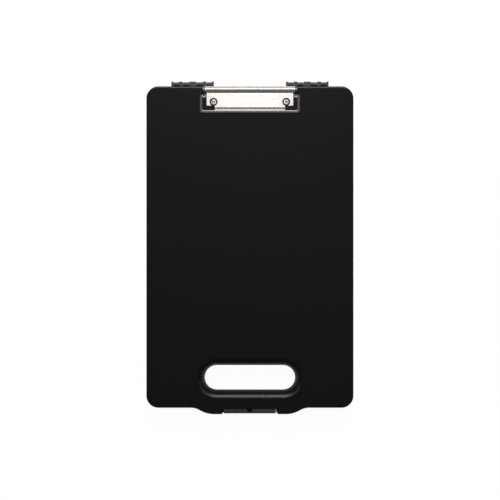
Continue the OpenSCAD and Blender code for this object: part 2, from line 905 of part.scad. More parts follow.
module clip_rivet(side) {
    head_r = rivet_head_d / 2;
    soft = rivet_edge_r;
    top_z = face_z + clip_base_t + rivet_head_h;
    dimple_r = (pow(rivet_dimple_w / 2, 2) + pow(rivet_dimple_h, 2)) / (2 * rivet_dimple_h);
    tail_z = lid_inside_z - washer_t;
    color(nickel)
        translate([side * rivet_x, rivet_y, 0])
            difference() {
                rotate_extrude() {
                    translate([0, tail_z])
                        square([rivet_d / 2, face_z + clip_base_t - tail_z]);
                    translate([0, face_z + clip_base_t])
                        square([head_r, rivet_head_h - soft]);
                    translate([0, face_z + clip_base_t])
                        square([head_r - soft, rivet_head_h]);
                    translate([head_r - soft, top_z - soft])
                        intersection() {
                            circle(soft);
                            square(soft);
                        }
                    translate([0, tail_z - washer_t])
                        square([head_r, washer_t]);
                }
                translate([0, 0, top_z + dimple_r - rivet_dimple_h])
                    sphere(r = dimple_r);
            }
}

module clip_washer(side) {
    color(steel)
        translate([side * rivet_x, rivet_y, lid_inside_z - washer_t])
            difference() {
                cylinder(h = washer_t, d = washer_d);
                translate([0, 0, -past])
                    cylinder(h = washer_t + 2 * past, r = rivet_d / 2 + pin_gap);
            }
}

module clip_corner_pad(mirrored) {
    low = face_z + rim_float;
    color(rubber)
        mirror([mirrored, 0, 0]) {
            translate([0, 0, low])
                linear_extrude(panel_top - pad_down - low)
                    pad_outline(0, 0);
            translate([0, 0, low])
                linear_extrude(ledge_top - clip_sheet_t - pad_gap - low)
                    pad_outline(0, pad_flange);
        }
}

// ---------- springs ----------

// Points down the middle of the wire: rear leg, helix, front leg
function spring_path() = let (
    n = spring_turns * coil_steps,
    half = spring_turns * spring_pitch / 2,
    leg_z = face_z + clip_base_t + spring_wire_d / 2 + pin_gap - clip_z)
    concat(
        [[-half, spring_hook, -spring_hook_drop]],
        [for (i = [0:n]) let (a = 270 - 360 * i / coil_steps)
            [-half + spring_pitch * i / coil_steps, coil_r * cos(a), coil_r * sin(a)]],
        [[half, -tube_r, (leg_z - coil_r) / 2], [half, -spring_leg, leg_z]]);

// Frame that turns as little as it can from one point to the next
function along(p, i) = let (
    a = p[max(i - 1, 0)],
    b = p[min(i + 1, len(p) - 1)])
    (b - a) / norm(b - a);

module wire(path, d, sides) {
    n = len(path);
    rings = [for (i = [0:n - 1]) let (
        t = along(path, i),
        u = cross(t, [1, 0, 0]) / norm(cross(t, [1, 0, 0])),
        v = cross(t, u))
        [for (k = [0:sides - 1]) path[i]
            + d / 2 * (cos(360 * k / sides) * u + sin(360 * k / sides) * v)]];
    points = [for (ring = rings, p = ring) p];
    sides_faces = [for (i = [0:n - 2], k = [0:sides - 1], half = [0, 1])
        let (k2 = (k + 1) % sides, a = i * sides, b = a + sides)
        half == 0 ? [a + k, b + k, a + k2] : [a + k2, b + k, b + k2]];
    start = [for (k = [1:sides - 2]) [0, k, k + 1]];
    end = [for (k = [1:sides - 2]) [(n - 1) * sides, (n - 1) * sides + k + 1, (n - 1) * sides + k]];
    polyhedron(points, concat(sides_faces, start, end));
}

module clip_spring(mirrored) {
    color(steel)
        mirror([mirrored, 0, 0])
            translate([spring_x, clip_y, clip_z])
                wire(spring_path(), spring_wire_d, wire_sides);
}

module hinge_pin_left() { hinge_pin(-1); }
module hinge_pin_right() { hinge_pin(1); }
module clip_spring_left() { clip_spring(1); }
module clip_spring_right() { clip_spring(0); }
module clip_rivet_left() { clip_rivet(-1); }
module clip_rivet_right() { clip_rivet(1); }
module clip_washer_left() { clip_washer(-1); }
module clip_washer_right() { clip_washer(1); }
module clip_corner_pad_left() { clip_corner_pad(1); }
module clip_corner_pad_right() { clip_corner_pad(0); }

base_tray();
lid_board();
hinge_pin_left();
hinge_pin_right();
latch_flap();
latch_pin();
clip_base_plate();
clip_clamp_plate();
clip_hinge_rod();
clip_spring_left();
clip_spring_right();
clip_rivet_left();
clip_rivet_right();
clip_washer_left();
clip_washer_right();
clip_corner_pad_left();
clip_corner_pad_right();
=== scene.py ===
"""Looks of a storage clipboard box: a shallow hinged case with a writing clip on its lid.

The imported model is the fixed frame, in metres: +X right, +Y up the board, +Z out of the
writing face. Every piece is built where that frame says.
"""

import json
import math

import bmesh
import bpy
from mathutils import Matrix, Vector
from mathutils.geometry import tessellate_polygon

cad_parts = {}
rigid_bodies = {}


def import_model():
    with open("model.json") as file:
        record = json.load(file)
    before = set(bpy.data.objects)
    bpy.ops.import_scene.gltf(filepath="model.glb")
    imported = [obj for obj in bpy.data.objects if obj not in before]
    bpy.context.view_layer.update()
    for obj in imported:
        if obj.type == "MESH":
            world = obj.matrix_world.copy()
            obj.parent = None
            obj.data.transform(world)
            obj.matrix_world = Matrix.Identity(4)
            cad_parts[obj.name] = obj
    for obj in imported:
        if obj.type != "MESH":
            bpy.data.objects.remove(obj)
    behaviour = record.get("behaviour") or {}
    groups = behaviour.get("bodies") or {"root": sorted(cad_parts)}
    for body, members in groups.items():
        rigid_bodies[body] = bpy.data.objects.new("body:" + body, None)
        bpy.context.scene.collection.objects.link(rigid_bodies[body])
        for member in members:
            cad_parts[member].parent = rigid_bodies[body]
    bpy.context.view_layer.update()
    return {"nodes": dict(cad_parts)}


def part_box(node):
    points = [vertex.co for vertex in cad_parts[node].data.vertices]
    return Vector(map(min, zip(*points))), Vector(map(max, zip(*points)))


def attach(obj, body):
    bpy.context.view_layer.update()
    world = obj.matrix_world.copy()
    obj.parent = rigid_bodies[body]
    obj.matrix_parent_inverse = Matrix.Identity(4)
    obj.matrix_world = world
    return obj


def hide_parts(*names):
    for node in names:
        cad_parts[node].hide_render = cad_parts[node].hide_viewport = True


bl_info = {
    "name": "Storage clipboard box",
    "version": (1, 0, 0),
    "blender": (4, 5, 0),
    "location": "View3D > Sidebar > Clipboard box",
    "description": "Builds the case, the latch, the writing clip and a plain studio round them",
    "category": "Object",
}

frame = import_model()
MM = 0.001
FULL = 360.0
BITE = 0.5 * MM  # how far one shape runs into the next where they join
PAST = 1 * MM  # how far a cutter runs past the face it opens
SLIP = 0.05 * MM  # the play between parts that are put together
CRISP = 0.2 * MM  # the round on an edge that looks sharp
LIP_JOINT = 47.0  # the slot lip's lean in degrees, where its funnel meets its crest
LIP_FOOT = 75.0  # its lean at the parting line
LIP_STEPS = RIM_STEPS = 14
DIMPLE_STEPS = 8
PHOTO_MIDDLE = (0.1 * MM, -2.6 * MM)  # the place on the board that is in the middle of the photograph


def length(name, description, millimetres):
    """A size property, given in millimetres and kept in metres."""
    return bpy.props.FloatProperty(
        name=name, description=description, default=millimetres * MM, unit="LENGTH", precision=5
    )


def node_middle(node):
    """Middle of a CAD node's box at rest, in millimetres."""
    low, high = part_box(node)
    return [round((a + b) / 2 / MM, 3) for a, b in zip(low, high)]


def node_top(node):
    """Upper right corner of a CAD node's box at rest, in millimetres."""
    return [round(a / MM, 3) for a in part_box(node)[1]]


def level(name, description, strength):
    """A lamp's brightness, where 1 is the white of paper."""
    return bpy.props.FloatProperty(name=name, description=description, default=strength, min=0)


def linear(hex_colour):
    """An sRGB hex colour as linear RGBA, the one place where colours are turned."""
    digits = hex_colour.lstrip("#")
    parts = [int(digits[i : i + 2], 16) / 255 for i in (0, 2, 4)]
    return tuple(p / 12.92 if p <= 0.04045 else ((p + 0.055) / 1.055) ** 2.4 for p in parts) + (1.0,)


def colour(name, description, hex_colour):
    """A colour property, given as sRGB hex."""
    return bpy.props.FloatVectorProperty(
        name=name, description=description, default=linear(hex_colour), subtype="COLOR", size=4, min=0, max=1
    )


class CaseSizes(bpy.types.PropertyGroup):
    """Sizes of the two halves of the case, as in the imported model."""

    width: length("Width", "Width of the case", 2 * node_top("lid_board")[0])
    top: length("Upper edge", "Place of the case's upper edge", 187.1)
    bottom: length("Lower edge", "Place of the case's lower edge, beside the bulge", -185.5)
    corner: length("Corner radius", "Radius of the case's four corners", 14)
    face: length("Writing face", "Height of the writing face", node_top("lid_board")[2])
    lid_bottom: length("Lid's lower edge", "Height of the lid's side of the parting line", 19.6)
    base_top: length("Base's upper edge", "Height of the base's side of the parting line", 19.4)
    wall: length("Wall", "Thickness of the moulded walls", 2.2)
    lid_round: length("Lid edge", "Rounding round the writing face", 2)
    base_round: length("Base edge", "Rounding round the underside", 3)
    inner_round: length("Inner edge", "Rounding between walls and floor, inside", 1.2)
    small_round: length("Small edge", "Rounding along the parting line and the notch", 0.4)
    bulge_drop: length("Bulge drop", "How far the bulge stands below the lower edge", 7.4)
    bulge_flat: length("Bulge flat", "Half the width of the bulge's flat bottom", 41.3)
    bulge_in: length("Bulge hollow radius", "Radius of the curve out of the lower edge", 21)
    bulge_out: length("Bulge round radius", "Radius of the curve into the bulge's flat", 34)
    notch_half: length("Notch half width", "Half the width of the latch notch", 32)
    notch_y: length("Notch top", "Place of the notch's upper edge", -186.2)
    notch_side: length("Notch side wall", "Thickness of the notch's side walls", 3)
    notch_corner: length("Notch corner", "Radius of the notch's corners", 0.5)
    slot_y: length("Slot middle", "Place of the hand slot's middle", -150.9)
    slot_half: length("Slot straight", "Half the straight length of the hand slot", 38.35)
    slot_radius: length("Slot radius", "Radius of the hand slot's ends", 14.25)
    slot_lip: length("Slot lip", "Width of the hand slot's lips", 9.5)
    slot_crest: length("Slot crest", "Radius where the upper lip meets the writing face", 7.6)
    slot_draft: length("Slot draft", "How far the slot's wall leans back in the base", 1.2)
    notch_round: length("Notch edge", "Rounding of the lid's edge over the latch flap", 2.8)
    rim_gap: length("Rim gap", "Gap between the locating rim and the lid's wall", 0.3)
    rim_thick: length("Rim thickness", "Thickness of the locating rim", 1.2)
    rim_high: length("Rim height", "Height of the locating rim above the parting line", 2)
    rim_root: length("Rim ledge", "Height of the ledge that carries the rim", 3)
    rim_round: length("Rim edge", "Rounding of the locating rim's upper edges", 0.3)
    divider_y: length("Divider place", "Place of the wall above the hand slot", -123.75)
    divider_thick: length("Divider thickness", "Thickness of that wall", 1.8)
    divider_high: length("Divider height", "Height of that wall above the floor", 15)


class HingeSizes(bpy.types.PropertyGroup):
    """Sizes of the two moulded hinges and of the latch."""

    middle: length("Hinge middle", "Distance from the case's middle to a hinge's middle", 66.5)
    width: length("Hinge width", "Width of a hinge", 49.2)
    y: length("Pin place", "Place of the hinge pins", node_middle("hinge_pin_right")[1])
    z: length("Pin height", "Height of the hinge pins", node_middle("hinge_pin_right")[2])
    radius: length("Knuckle radius", "Radius of the knuckles", 2.8)
    gap: length("Wall gap", "Gap between the knuckles and the case's wall", 0.2)
    fin_high: length("Fin height", "Height of the fins above and below the pin", 8.5)
    fin_round: length("Fin rounding", "Rounding of the fins' outer corner", 1.6)
    fin_mid: length("Middle fin", "Width of the lid's fin in the middle of a hinge", 7.8)
    fin_arm: length("Arm fin", "Width of the lid's fins beside the middle one", 4.1)
    fin_arm_x: length("Arm fin place", "Distance from the middle fin's middle to theirs", 13.65)
    fin_end: length("End fin", "Width of the lid's fins at the ends of a hinge", 2.3)
    edge: length("Hinge edge", "Rounding of the edges of fins and knuckles", 0.25)
    side_gap: length("Side gap", "Gap between a fin and a knuckle", 0.3)
    bore: length("Bore radius", "Radius of the pins' bores", 1.55)
    skin: length("Bore skin", "Skin at the closed end of a bore", 0.8)
    flap_width: length("Flap width", "Width of the latch flap", 60.4)
    flap_shift: length("Flap shift", "How far the flap lies to the right", -0.2)
    flap_face: length("Flap face", "Place of the flap's outer face", -192.2)
    cheek: length("Cheek", "Width of the base's cheeks beside the flap", 1.3)
    flap_y: length("Flap pin place", "Place of the latch flap's pin", node_middle("latch_pin")[1])
    flap_z: length("Flap pin height", "Height of the latch flap's pin", node_middle("latch_pin")[2])
    flap_slope: length("Flap slope", "Fall of the flap's top towards the lid", 0.4)
    flap_thick: length("Flap thickness", "Thickness of the flap's plate", 2)
    flap_knuckle: length("Flap knuckle", "Radius of the flap's knuckle", 2.7)
    flap_top: length("Flap top", "Height of the flap's top", 27.5)
    flap_head: length("Flap head", "Height of the flap's head", 3)
    flap_reach: length("Flap head reach", "How far the head reaches back from the flap's face", 5.65)
    flap_slot: length("Flap slot", "Width of the slot in the flap's head", 5.4)
    flap_bore: length("Flap bore", "Radius of the flap pin's bore", 1.3)
    slot_gap: length("Slot gap", "Gap between the lid's rib and each side of that slot", 0.5)
    flap_round: length("Flap rounding", "Rounding of the flap's outer upper edge", 1)
    flap_soft: length("Flap head edge", "Rounding of the head's edge towards the lid", 0.6)
    flap_bead: length("Flap bead", "Radius of the bead along the flap's head", 0.15)
    flap_rib: length("Flap rib", "Thickness of the flap's ribs", 1.4)
    catch: length("Catch", "Radius of the groove in the lid that faces the bead", 0.9)


class ClipSizes(bpy.types.PropertyGroup):
    """Sizes of the writing clip."""

    y: length("Rod place", "Place of the clip's rod and rolled tube", node_middle("clip_hinge_rod")[1])
    z: length("Rod height", "Height of the clip's rod", node_middle("clip_hinge_rod")[2])
    tube: length("Tube radius", "Outside radius of the rolled tube", 3.8)
    tube_length: length("Tube length", "Length of the rolled tube", 104)
    sheet: length("Sheet", "Thickness of the pressed sheet", 0.9)
    half: length("Rim half width", "Half the width across the turned-down rim", 58)
    lip_y: length("Front lip", "Place of the clip's front lip", 155.9)
    rim_back: length("Rim end", "Place where the rim ends at the back", 176.8)
    bend: length("Rim bend", "Height over which the rim turns down", 2.1)
    roll_front: length("Front roll", "Width over which the front rim turns down", 2.4)
    roll_side: length("Side roll", "Width over which the side rims turn down", 4)
    slope: length("Ledge slope", "Fall of the ledge from the step to the rim", 0.06)
    ledge: length("Ledge height", "Height of the ledge's top", 32.4)
    panel: length("Panel height", "Height of the raised panel's top", 34)
    panel_half: length("Panel half width", "Half the width of the raised panel", 50.7)
    panel_y: length("Panel step", "Place of the step at the panel's front", 161.4)
    corner: length("Rim corner", "Radius of the rim's corners", 3)
    step_corner: length("Step corner", "Radius of the corners of the step round the panel", 1.2)
    edge: length("Sheet edge", "Rounding of the sheet's edges", 0.12)
    pad_x: length("Pad side", "Distance from the middle to a pad's outer side", 55.1)
    pad_y: length("Pad front", "Place of the pads' front", 159)
    pad_back: length("Pad end", "Place where the pads' side arms end", 173.9)
    pad_inner: length("Pad inner side", "Place of the inner side of the pads' front arms", 164)
    pad_side: length("Pad side arm", "Width of the pads' side arms", 4.6)
    pad_front: length("Pad front arm", "Length of the pads' front arms", 14.3)
    pad_cut: length("Pad corner", "Size of the cut at the pads' outer corners", 1.4)
    pad_gap: length("Pad gap", "Gap between a pad and the sheet round it", 0.15)
    pad_foot: length("Pad foot", "How far the pads' feet reach out under the sheet", 0.4)
    pad_lift: length("Pad lift", "Gap between the pads and the writing face", 0.3)
    pad_down: length("Pad depth", "How far the pads lie below the panel's top", 1)
    rivet_x: length("Rivet spacing", "Place of the right rivet", node_middle("clip_rivet_right")[0])
    rivet_y: length("Rivet place", "Place of the rivets", node_middle("clip_rivet_right")[1])
    rivet_hole: length("Rivet window", "Radius of the panel's hole over a rivet", 4.75)
    rivet_shank: length("Rivet shank", "Radius of a rivet's shank", 2.2)
    rivet_head: length("Rivet head", "Radius of a rivet's head", 3.4)
    rivet_high: length("Rivet head height", "Height of a rivet's head", 1.3)
    rivet_round: length("Rivet edge", "Rounding of a rivet's head", 0.8)
    rivet_dimple: length("Rivet dimple", "Radius of the dimple in a rivet's head", 1.75)
    rivet_deep: length("Dimple depth", "Depth of that dimple", 0.85)
    rivet_tail: length("Rivet tail", "Height of a rivet's tail inside the lid", 0.8)
    plate: length("Base plate", "Thickness of the base plate", 1)
    ear_x: length("Ear place", "Distance from the middle to an ear's inner side", 52.6)
    ear_front: length("Ear foot", "Place where the ears' feet end in front", 175.8)
    ear_gap: length("Ear gap", "Gap between an ear and its slot", 0.7)
    rod: length("Rod radius", "Radius of the rod", 1.5)
    spring_x: length("Spring place", "Distance from the middle to a spring", 30)
    spring_leg: length("Spring leg", "Length of a spring's front leg", 9)
    spring_floor: length("Spring opening", "Distance from the rod's middle down to the tube's openings", 1.2)
    wire: length("Wire", "Diameter of the spring wire", 1)
    pitch: length("Spring pitch", "Distance between one turn and the next", 1.6)
    turns: bpy.props.IntProperty(name="Turns", description="Turns in a spring", default=8, min=3, max=12)


class Finishes(bpy.types.PropertyGroup):
    """Colours of the finishes."""

    # Colour of the smooth finish. The crests that face the lamps also get this finish, as a painted
    # highlight.
    case: colour("Case", "Smooth black polypropylene", "#0c0c0d")
    board: colour("Board", "The same polypropylene with the writing face's texture", "#111112")
    latch: colour("Latch", "Charcoal polypropylene", "#4a4b4a")
    nickel: colour("Nickel", "Bright nickel plate on pressed steel", "#d9d2cc")
    steel: colour("Steel", "Zinc-plated steel of pins, rod and washers", "#b4b4b2")
    # The base plate's dull steel is darkened to paint the shade under the clip's panel, where the plate
    # shows through the windows.
    oiled: colour("Oiled steel", "Oiled mild steel of the clip's base plate", "#8a857c")
    wire: colour("Wire", "Oiled spring wire", "#8f8c88")
    rubber: colour("Rubber", "Matt black rubber", "#0b0b0b")
    floor: colour("Floor", "Pale studio floor", "#f4f4f4")


class StudioSettings(bpy.types.PropertyGroup):
    """Camera and lamps."""

    distance: bpy.props.FloatProperty(
        name="Camera height", description="Height of the camera above the floor", default=1.53, unit="LENGTH"
    )
    lens: bpy.props.FloatProperty(
        name="Lens", description="Focal length in millimetres", default=93.3, min=20
    )
    sky: level("Overhead softbox", "Brightness of the large softbox overhead, towards the hinges", 0.44)
    near: level("Near lamp", "Brightness of the small low lamp that the slot's lip and the tube mirror", 6.5)
    strip: level("Clip lamp", "Brightness of the small softbox that the clip's panel mirrors", 2.0)
    back: level("Back softbox", "Brightness of the upright softbox behind the hinges", 0.8)
    fill: level("Fill", "Brightness of the weak warm fill towards the hand slot", 0.1)


# ---------- small helpers ----------


def store(name, mesh):
    """Puts a mesh in the scene as an object at the origin."""
    piece = bpy.data.objects.new(name, mesh)
    bpy.context.scene.collection.objects.link(piece)
    return piece


def arc(cx, cy, radius, start, stop, steps):
    """Points of an arc in a plane, from start to stop in degrees, both ends in."""
    angles = (math.radians(start + (stop - start) * i / steps) for i in range(steps + 1))
    return [(cx + radius * math.cos(a), cy + radius * math.sin(a)) for a in angles]


class Skin:
    """Points and faces of a piece while it is being built."""

    def __init__(self):
        self.points, self.faces, self.flats = [], [], []

    def loop(self, points):
        """Adds points and returns their numbers."""
        start = len(self.points)
        self.points += [tuple(p) for p in points]
        return list(range(start, len(self.points)))

    def band(self, a, b, closed=True):
        """Faces between two loops of as many points."""
        n = len(a)
        for i in range(n if closed else n - 1):
            j = (i + 1) % n
            self.faces.append((a[i], a[j], b[j], b[i]))

    def bands(self, loops, closed=True):
        """Faces from each loop to the next."""
        for a, b in zip(loops, loops[1:]):
            self.band(a, b, closed)

    def cap(self, *rings):
        """A flat face inside the first ring and outside the others."""
        flat = [i for ring in rings for i in ring]
        shapes = [[Vector(self.points[i]) for i in ring] for ring in rings]
        start = len(self.faces)
        self.faces += [tuple(flat[i] for i in tri) for tri in tessellate_polygon(shapes)]
        self.flats.append((start, len(self.faces)))

    def prism(self, outline, start, stop):
        """An outline in Y and Z, pushed along X."""
        a = self.loop((start, y, z) for y, z in outline)
        b = self.loop((stop, y, z) for y, z in outline)
        self.band(a, b)
        self.faces += [tuple(a), tuple(b)]

    def plate(self, outline, low, high):
        """An outline in X and Y, pushed along Z."""
        a = self.loop((x, y, low) for x, y in outline)
        b = self.loop((x, y, high) for x, y in outline)
        self.band(a, b)
        self.faces += [tuple(a), tuple(b)]

    def box(self, low, high):
        """A block from its lowest to its highest corner."""
        (x0, y0, z0), (x1, y1, z1) = low, high
        self.prism([(y0, z0), (y1, z0), (y1, z1), (y0, z1)], x0, x1)

    def turned(self, profile, centre, axis="X", steps=64):
        """A closed solid turned about an axis. The profile is (place on the axis, radius)."""
        rings = []
        for along, radius in profile:
            ring = arc(0, 0, max(radius, 1e-6), 0, FULL - FULL / steps, steps - 1)
            if axis == "X":
                points = [(centre[0] + along, centre[1] + u, centre[2] + v) for u, v in ring]
            else:
                points = [(centre[0] + u, centre[1] + v, centre[2] + along) for u, v in ring]
            rings.append(self.loop(points))
        self.bands(rings)
        self.faces += [tuple(rings[0]), tuple(rings[-1])]

    def mesh(self, name):
        """The piece's mesh, closed, with its faces pointing outwards."""
        mesh = bpy.data.meshes.new(name)
        mesh.from_pydata(self.points, [], self.faces)
        work = bmesh.new()
        work.from_mesh(mesh)
        work.faces.ensure_lookup_table()
        for start, stop in self.flats:
            flat = set(work.faces[start:stop])
            edges = [e for e in {e for f in flat for e in f.edges} if flat.issuperset(e.link_faces)]
            bmesh.ops.beautify_fill(work, faces=list(flat), edges=edges)
            work.faces.ensure_lookup_table()
        bmesh.ops.remove_doubles(work, verts=work.verts, dist=1e-7)
        bmesh.ops.recalc_face_normals(work, faces=work.faces)
        work.to_mesh(mesh)
        work.free()
        return mesh

    def piece(self, name):
        """The skin as an object in the scene."""
        return store(name, self.mesh(name))


def settled(piece):
    """Turns a piece's modifiers into plain mesh."""
    graph = bpy.context.evaluated_depsgraph_get()
    graph.update()
    mesh = bpy.data.meshes.new_from_object(piece.evaluated_get(graph))
    old = piece.data
    piece.modifiers.clear()
    piece.data = mesh
    bpy.data.meshes.remove(old)
    return piece


def combine(piece, other, operation):
    """Joins another solid to a piece, or cuts it out, and drops the other one."""
    step = piece.modifiers.new(operation, "BOOLEAN")
    step.operation = operation
    step.solver = "EXACT"
    step.object = other
    settled(piece)
    bpy.data.objects.remove(other)
    return piece


def rounded(piece, width, angle=40, segments=2):
    """Breaks a piece's sharp edges by width."""
    step = piece.modifiers.new("edges", "BEVEL")
    step.width = width
    step.segments = segments
    step.limit_method = "ANGLE"
    step.angle_limit = math.radians(angle)
    step.use_clamp_overlap = True
    return settled(piece)


def finished(piece, material, body, replaced, angle=32):
    """Shades a piece, gives it its finish and ties it to its body."""
    mesh = piece.data
    if not mesh.polygons:
        raise RuntimeError(f"{piece.name} has no faces, so a join or a cut went wrong")
    mesh.materials.clear()
    mesh.materials.append(material)
    mesh.shade_smooth()
    mesh.set_sharp_from_angle(angle=math.radians(angle))
    weighted = piece.modifiers.new("weighted", "WEIGHTED_NORMAL")
    weighted.keep_sharp = True
    weighted.weight = 50
    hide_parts(*replaced)
    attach(piece, body)
    return piece


# ---------- materials ----------


def add(tree, kind, settings=None, *sources, **links):
    """Adds a node with its settings, and links its inputs, in their order or by name."""
    node = tree.nodes.new(kind)
    for key, value in (settings or {}).items():
        if key in node.inputs:
            node.inputs[key].default_value = value
        else:
            setattr(node, key, value)
    for source, socket in zip(sources, node.inputs):
        tree.links.new(source, socket)
    for key, source in links.items():
        tree.links.new(source, node.inputs[key.replace("_", " ")])
    return node


def new_material(name):
    """An empty material, its tree and its output."""
    material = bpy.data.materials.new(name)
    material.use_nodes = True
    tree = material.node_tree
    tree.nodes.clear()
    return material, tree, tree.nodes.new("ShaderNodeOutputMaterial")


def moulded(name, base, roughness, level, grain, depth):
    """Injection-moulded polypropylene: satin, with a fine even grain as the mould's surface left
    it, and a slow drift in tone where the melt cooled."""
    material, tree, out = new_material(name)
    place = add(tree, "ShaderNodeTexCoord").outputs["Object"]
    close = {"Scale": 1 / grain, "Detail": 2.0, "Roughness": 0.6}
    fine = add(tree, "ShaderNodeTexNoise", close, Vector=place)
    wide = {"Scale": 1 / (71.4 * MM), "Detail": 3.0, "Roughness": 0.5}
    drift = add(tree, "ShaderNodeTexNoise", wide, Vector=place)
    tone = add(
        tree,
        "ShaderNodeMapRange",
        {"From Min": 0.3, "From Max": 0.7, "To Min": 0.9, "To Max": 1.1},
        Value=drift.outputs["Fac"],
    )
    shade = add(
        tree,
        "ShaderNodeVectorMath",
        {"operation": "SCALE", "Vector": base[:3]},
        Scale=tone.outputs["Result"],
    )
    gloss = add(
        tree,
        "ShaderNodeMapRange",
        {"From Min": 0.25, "From Max": 0.75, "To Min": roughness - 0.035, "To Max": roughness + 0.035},
        Value=fine.outputs["Fac"],
    )
    bump = add(tree, "ShaderNodeBump", {"Strength": 0.5, "Distance": depth}, Height=fine.outputs["Fac"])
    shader = add(
        tree,
        "ShaderNodeBsdfPrincipled",
        {"IOR": 1.49, "Specular IOR Level": level},
        Base_Color=shade.outputs["Vector"],
        Roughness=gloss.outputs["Result"],
        Normal=bump.outputs["Normal"],
    )
    tree.links.new(shader.outputs["BSDF"], out.inputs["Surface"])
    return material


def plated(name, base, roughness, wave):
    """Bright nickel or zinc plate on rolled steel: a mirror softened by rolling marks along the
    sheet, with a slow waviness that bends reflections."""
    material, tree, out = new_material(name)
    along, across, swell = 16.67 * MM, 0.4545 * MM, 22.2 * MM
    place = add(tree, "ShaderNodeTexCoord").outputs["Object"]
    rolled = add(tree, "ShaderNodeMapping", {"Scale": (1 / along, 1 / across, 1 / across)}, Vector=place)
    marks = add(tree, "ShaderNodeTexNoise", {"Scale": 1.0, "Detail": 3.0}, Vector=rolled.outputs["Vector"])
    slow = add(tree, "ShaderNodeTexNoise", {"Scale": 1 / swell, "Detail": 1.0}, Vector=place)
    gloss = add(
        tree,
        "ShaderNodeMapRange",
        {"From Min": 0.3, "From Max": 0.7, "To Min": roughness - 0.03, "To Max": roughness + 0.04},
        Value=marks.outputs["Fac"],
    )
    bends = add(tree, "ShaderNodeBump", {"Strength": 0.35, "Distance": wave}, Height=slow.outputs["Fac"])
    bump = add(
        tree,
        "ShaderNodeBump",
        {"Strength": 0.15, "Distance": 0.01 * MM},
        Height=marks.outputs["Fac"],
        Normal=bends.outputs["Normal"],
    )
    shader = add(
        tree,
        "ShaderNodeBsdfPrincipled",
        {"Base Color": base, "Metallic": 1.0},
        Roughness=gloss.outputs["Result"],
        Normal=bump.outputs["Normal"],
    )
    tree.links.new(shader.outputs["BSDF"], out.inputs["Surface"])
    return material


def rubbery(name, base):
    """Moulded nitrile rubber: matt, slightly dusty, with a soft grain."""
    material, tree, out = new_material(name)
    place = add(tree, "ShaderNodeTexCoord").outputs["Object"]
    grain = add(tree, "ShaderNodeTexNoise", {"Scale": 1 / (0.5556 * MM), "Detail": 3.0}, Vector=place)
    dusty = add(
        tree,
        "ShaderNodeMapRange",
        {"From Min": 0.35, "From Max": 0.75, "To Min": 0.62, "To Max": 0.8},
        Value=grain.outputs["Fac"],
    )
    bump = add(tree, "ShaderNodeBump", {"Strength": 0.6, "Distance": 0.05 * MM}, Height=grain.outputs["Fac"])
    shader = add(
        tree,
        "ShaderNodeBsdfPrincipled",
        {"Base Color": base, "IOR": 1.52},
        Roughness=dusty.outputs["Result"],
        Normal=bump.outputs["Normal"],
    )
    tree.links.new(shader.outputs["BSDF"], out.inputs["Surface"])
    return material


def material(name):
    """The named finish, made when it is first asked for."""
    if name not in bpy.data.materials:
        tones = bpy.context.scene.clipbox_finishes
        makers = {
            # The smooth finish. Its specular level of 1.0 on the crests that face the lamps is a painted
            # highlight.
            "case_polypropylene": lambda n: moulded(n, tones.case, 0.26, 1.0, 0.5 * MM, 0.008 * MM),
            "board_texture": lambda n: moulded(n, tones.board, 0.5, 0.28, 0.35 * MM, 0.03 * MM),
            "latch_polypropylene": lambda n: moulded(n, tones.latch, 0.42, 0.5, 0.35 * MM, 0.02 * MM),
            "nickel_plate": lambda n: plated(n, tones.nickel, 0.18, 0.03 * MM),
            "zinc_plate": lambda n: plated(n, tones.steel, 0.3, 0.02 * MM),
            # Painted shade: the base plate's darkened colour stands in for the shade under the panel.
            "oiled_steel": lambda n: plated(n, tones.oiled, 0.45, 0.02 * MM),
            "spring_wire": lambda n: plated(n, tones.wire, 0.35, 0.02 * MM),
            "nitrile_rubber": lambda n: rubbery(n, tones.rubber),
        }
        makers[name](name)
    return bpy.data.materials[name]


# ---------- the case ----------


def mirrored(points):
    """The same outline on the other side of the middle."""
    return [(-x, y) for x, y in reversed(points)]


def outline(c, inset, notch, inner=False):
    """The case's outline with its notch, drawn in by inset, and by notch round the notch, whose
    side walls are thicker. Every outline has its points in the same order, so that a skin can
    run from one to the next."""
    half, low, bulge = c.width / 2, c.bottom, c.bottom - c.bulge_drop
    turn = math.degrees(math.acos(1 - c.bulge_drop / (c.bulge_in + c.bulge_out)))
    hollow_x = c.bulge_flat + (c.bulge_in + c.bulge_out) * math.sin(math.radians(turn))
    side = notch + (c.notch_side - c.wall if inner else 0)
    nx, ny, r = c.notch_half + side, c.notch_y + notch, c.notch_corner
    cx = half - c.corner
    right = [
        *arc(nx - r, ny - r, r, 90, 0, 4),
        *arc(nx + r, bulge + inset + r, r, 180, 270, 4),
        *arc(c.bulge_flat, bulge + c.bulge_out, c.bulge_out - inset, 270, 270 + turn, 12),
        *arc(hollow_x, low - c.bulge_in, c.bulge_in + inset, 90 + turn, 90, 10),
        *arc(cx, low + c.corner, c.corner - inset, 270, FULL, 24),
        *arc(cx, c.top - c.corner, c.corner - inset, 0, 90, 24),
    ]
    return right + mirrored(right)


def slot(c, grow):
    """The hand slot's outline, grown by grow."""
    right = arc(c.slot_half, c.slot_y, c.slot_radius + grow, -90, 90, 40)
    return right + mirrored(right)


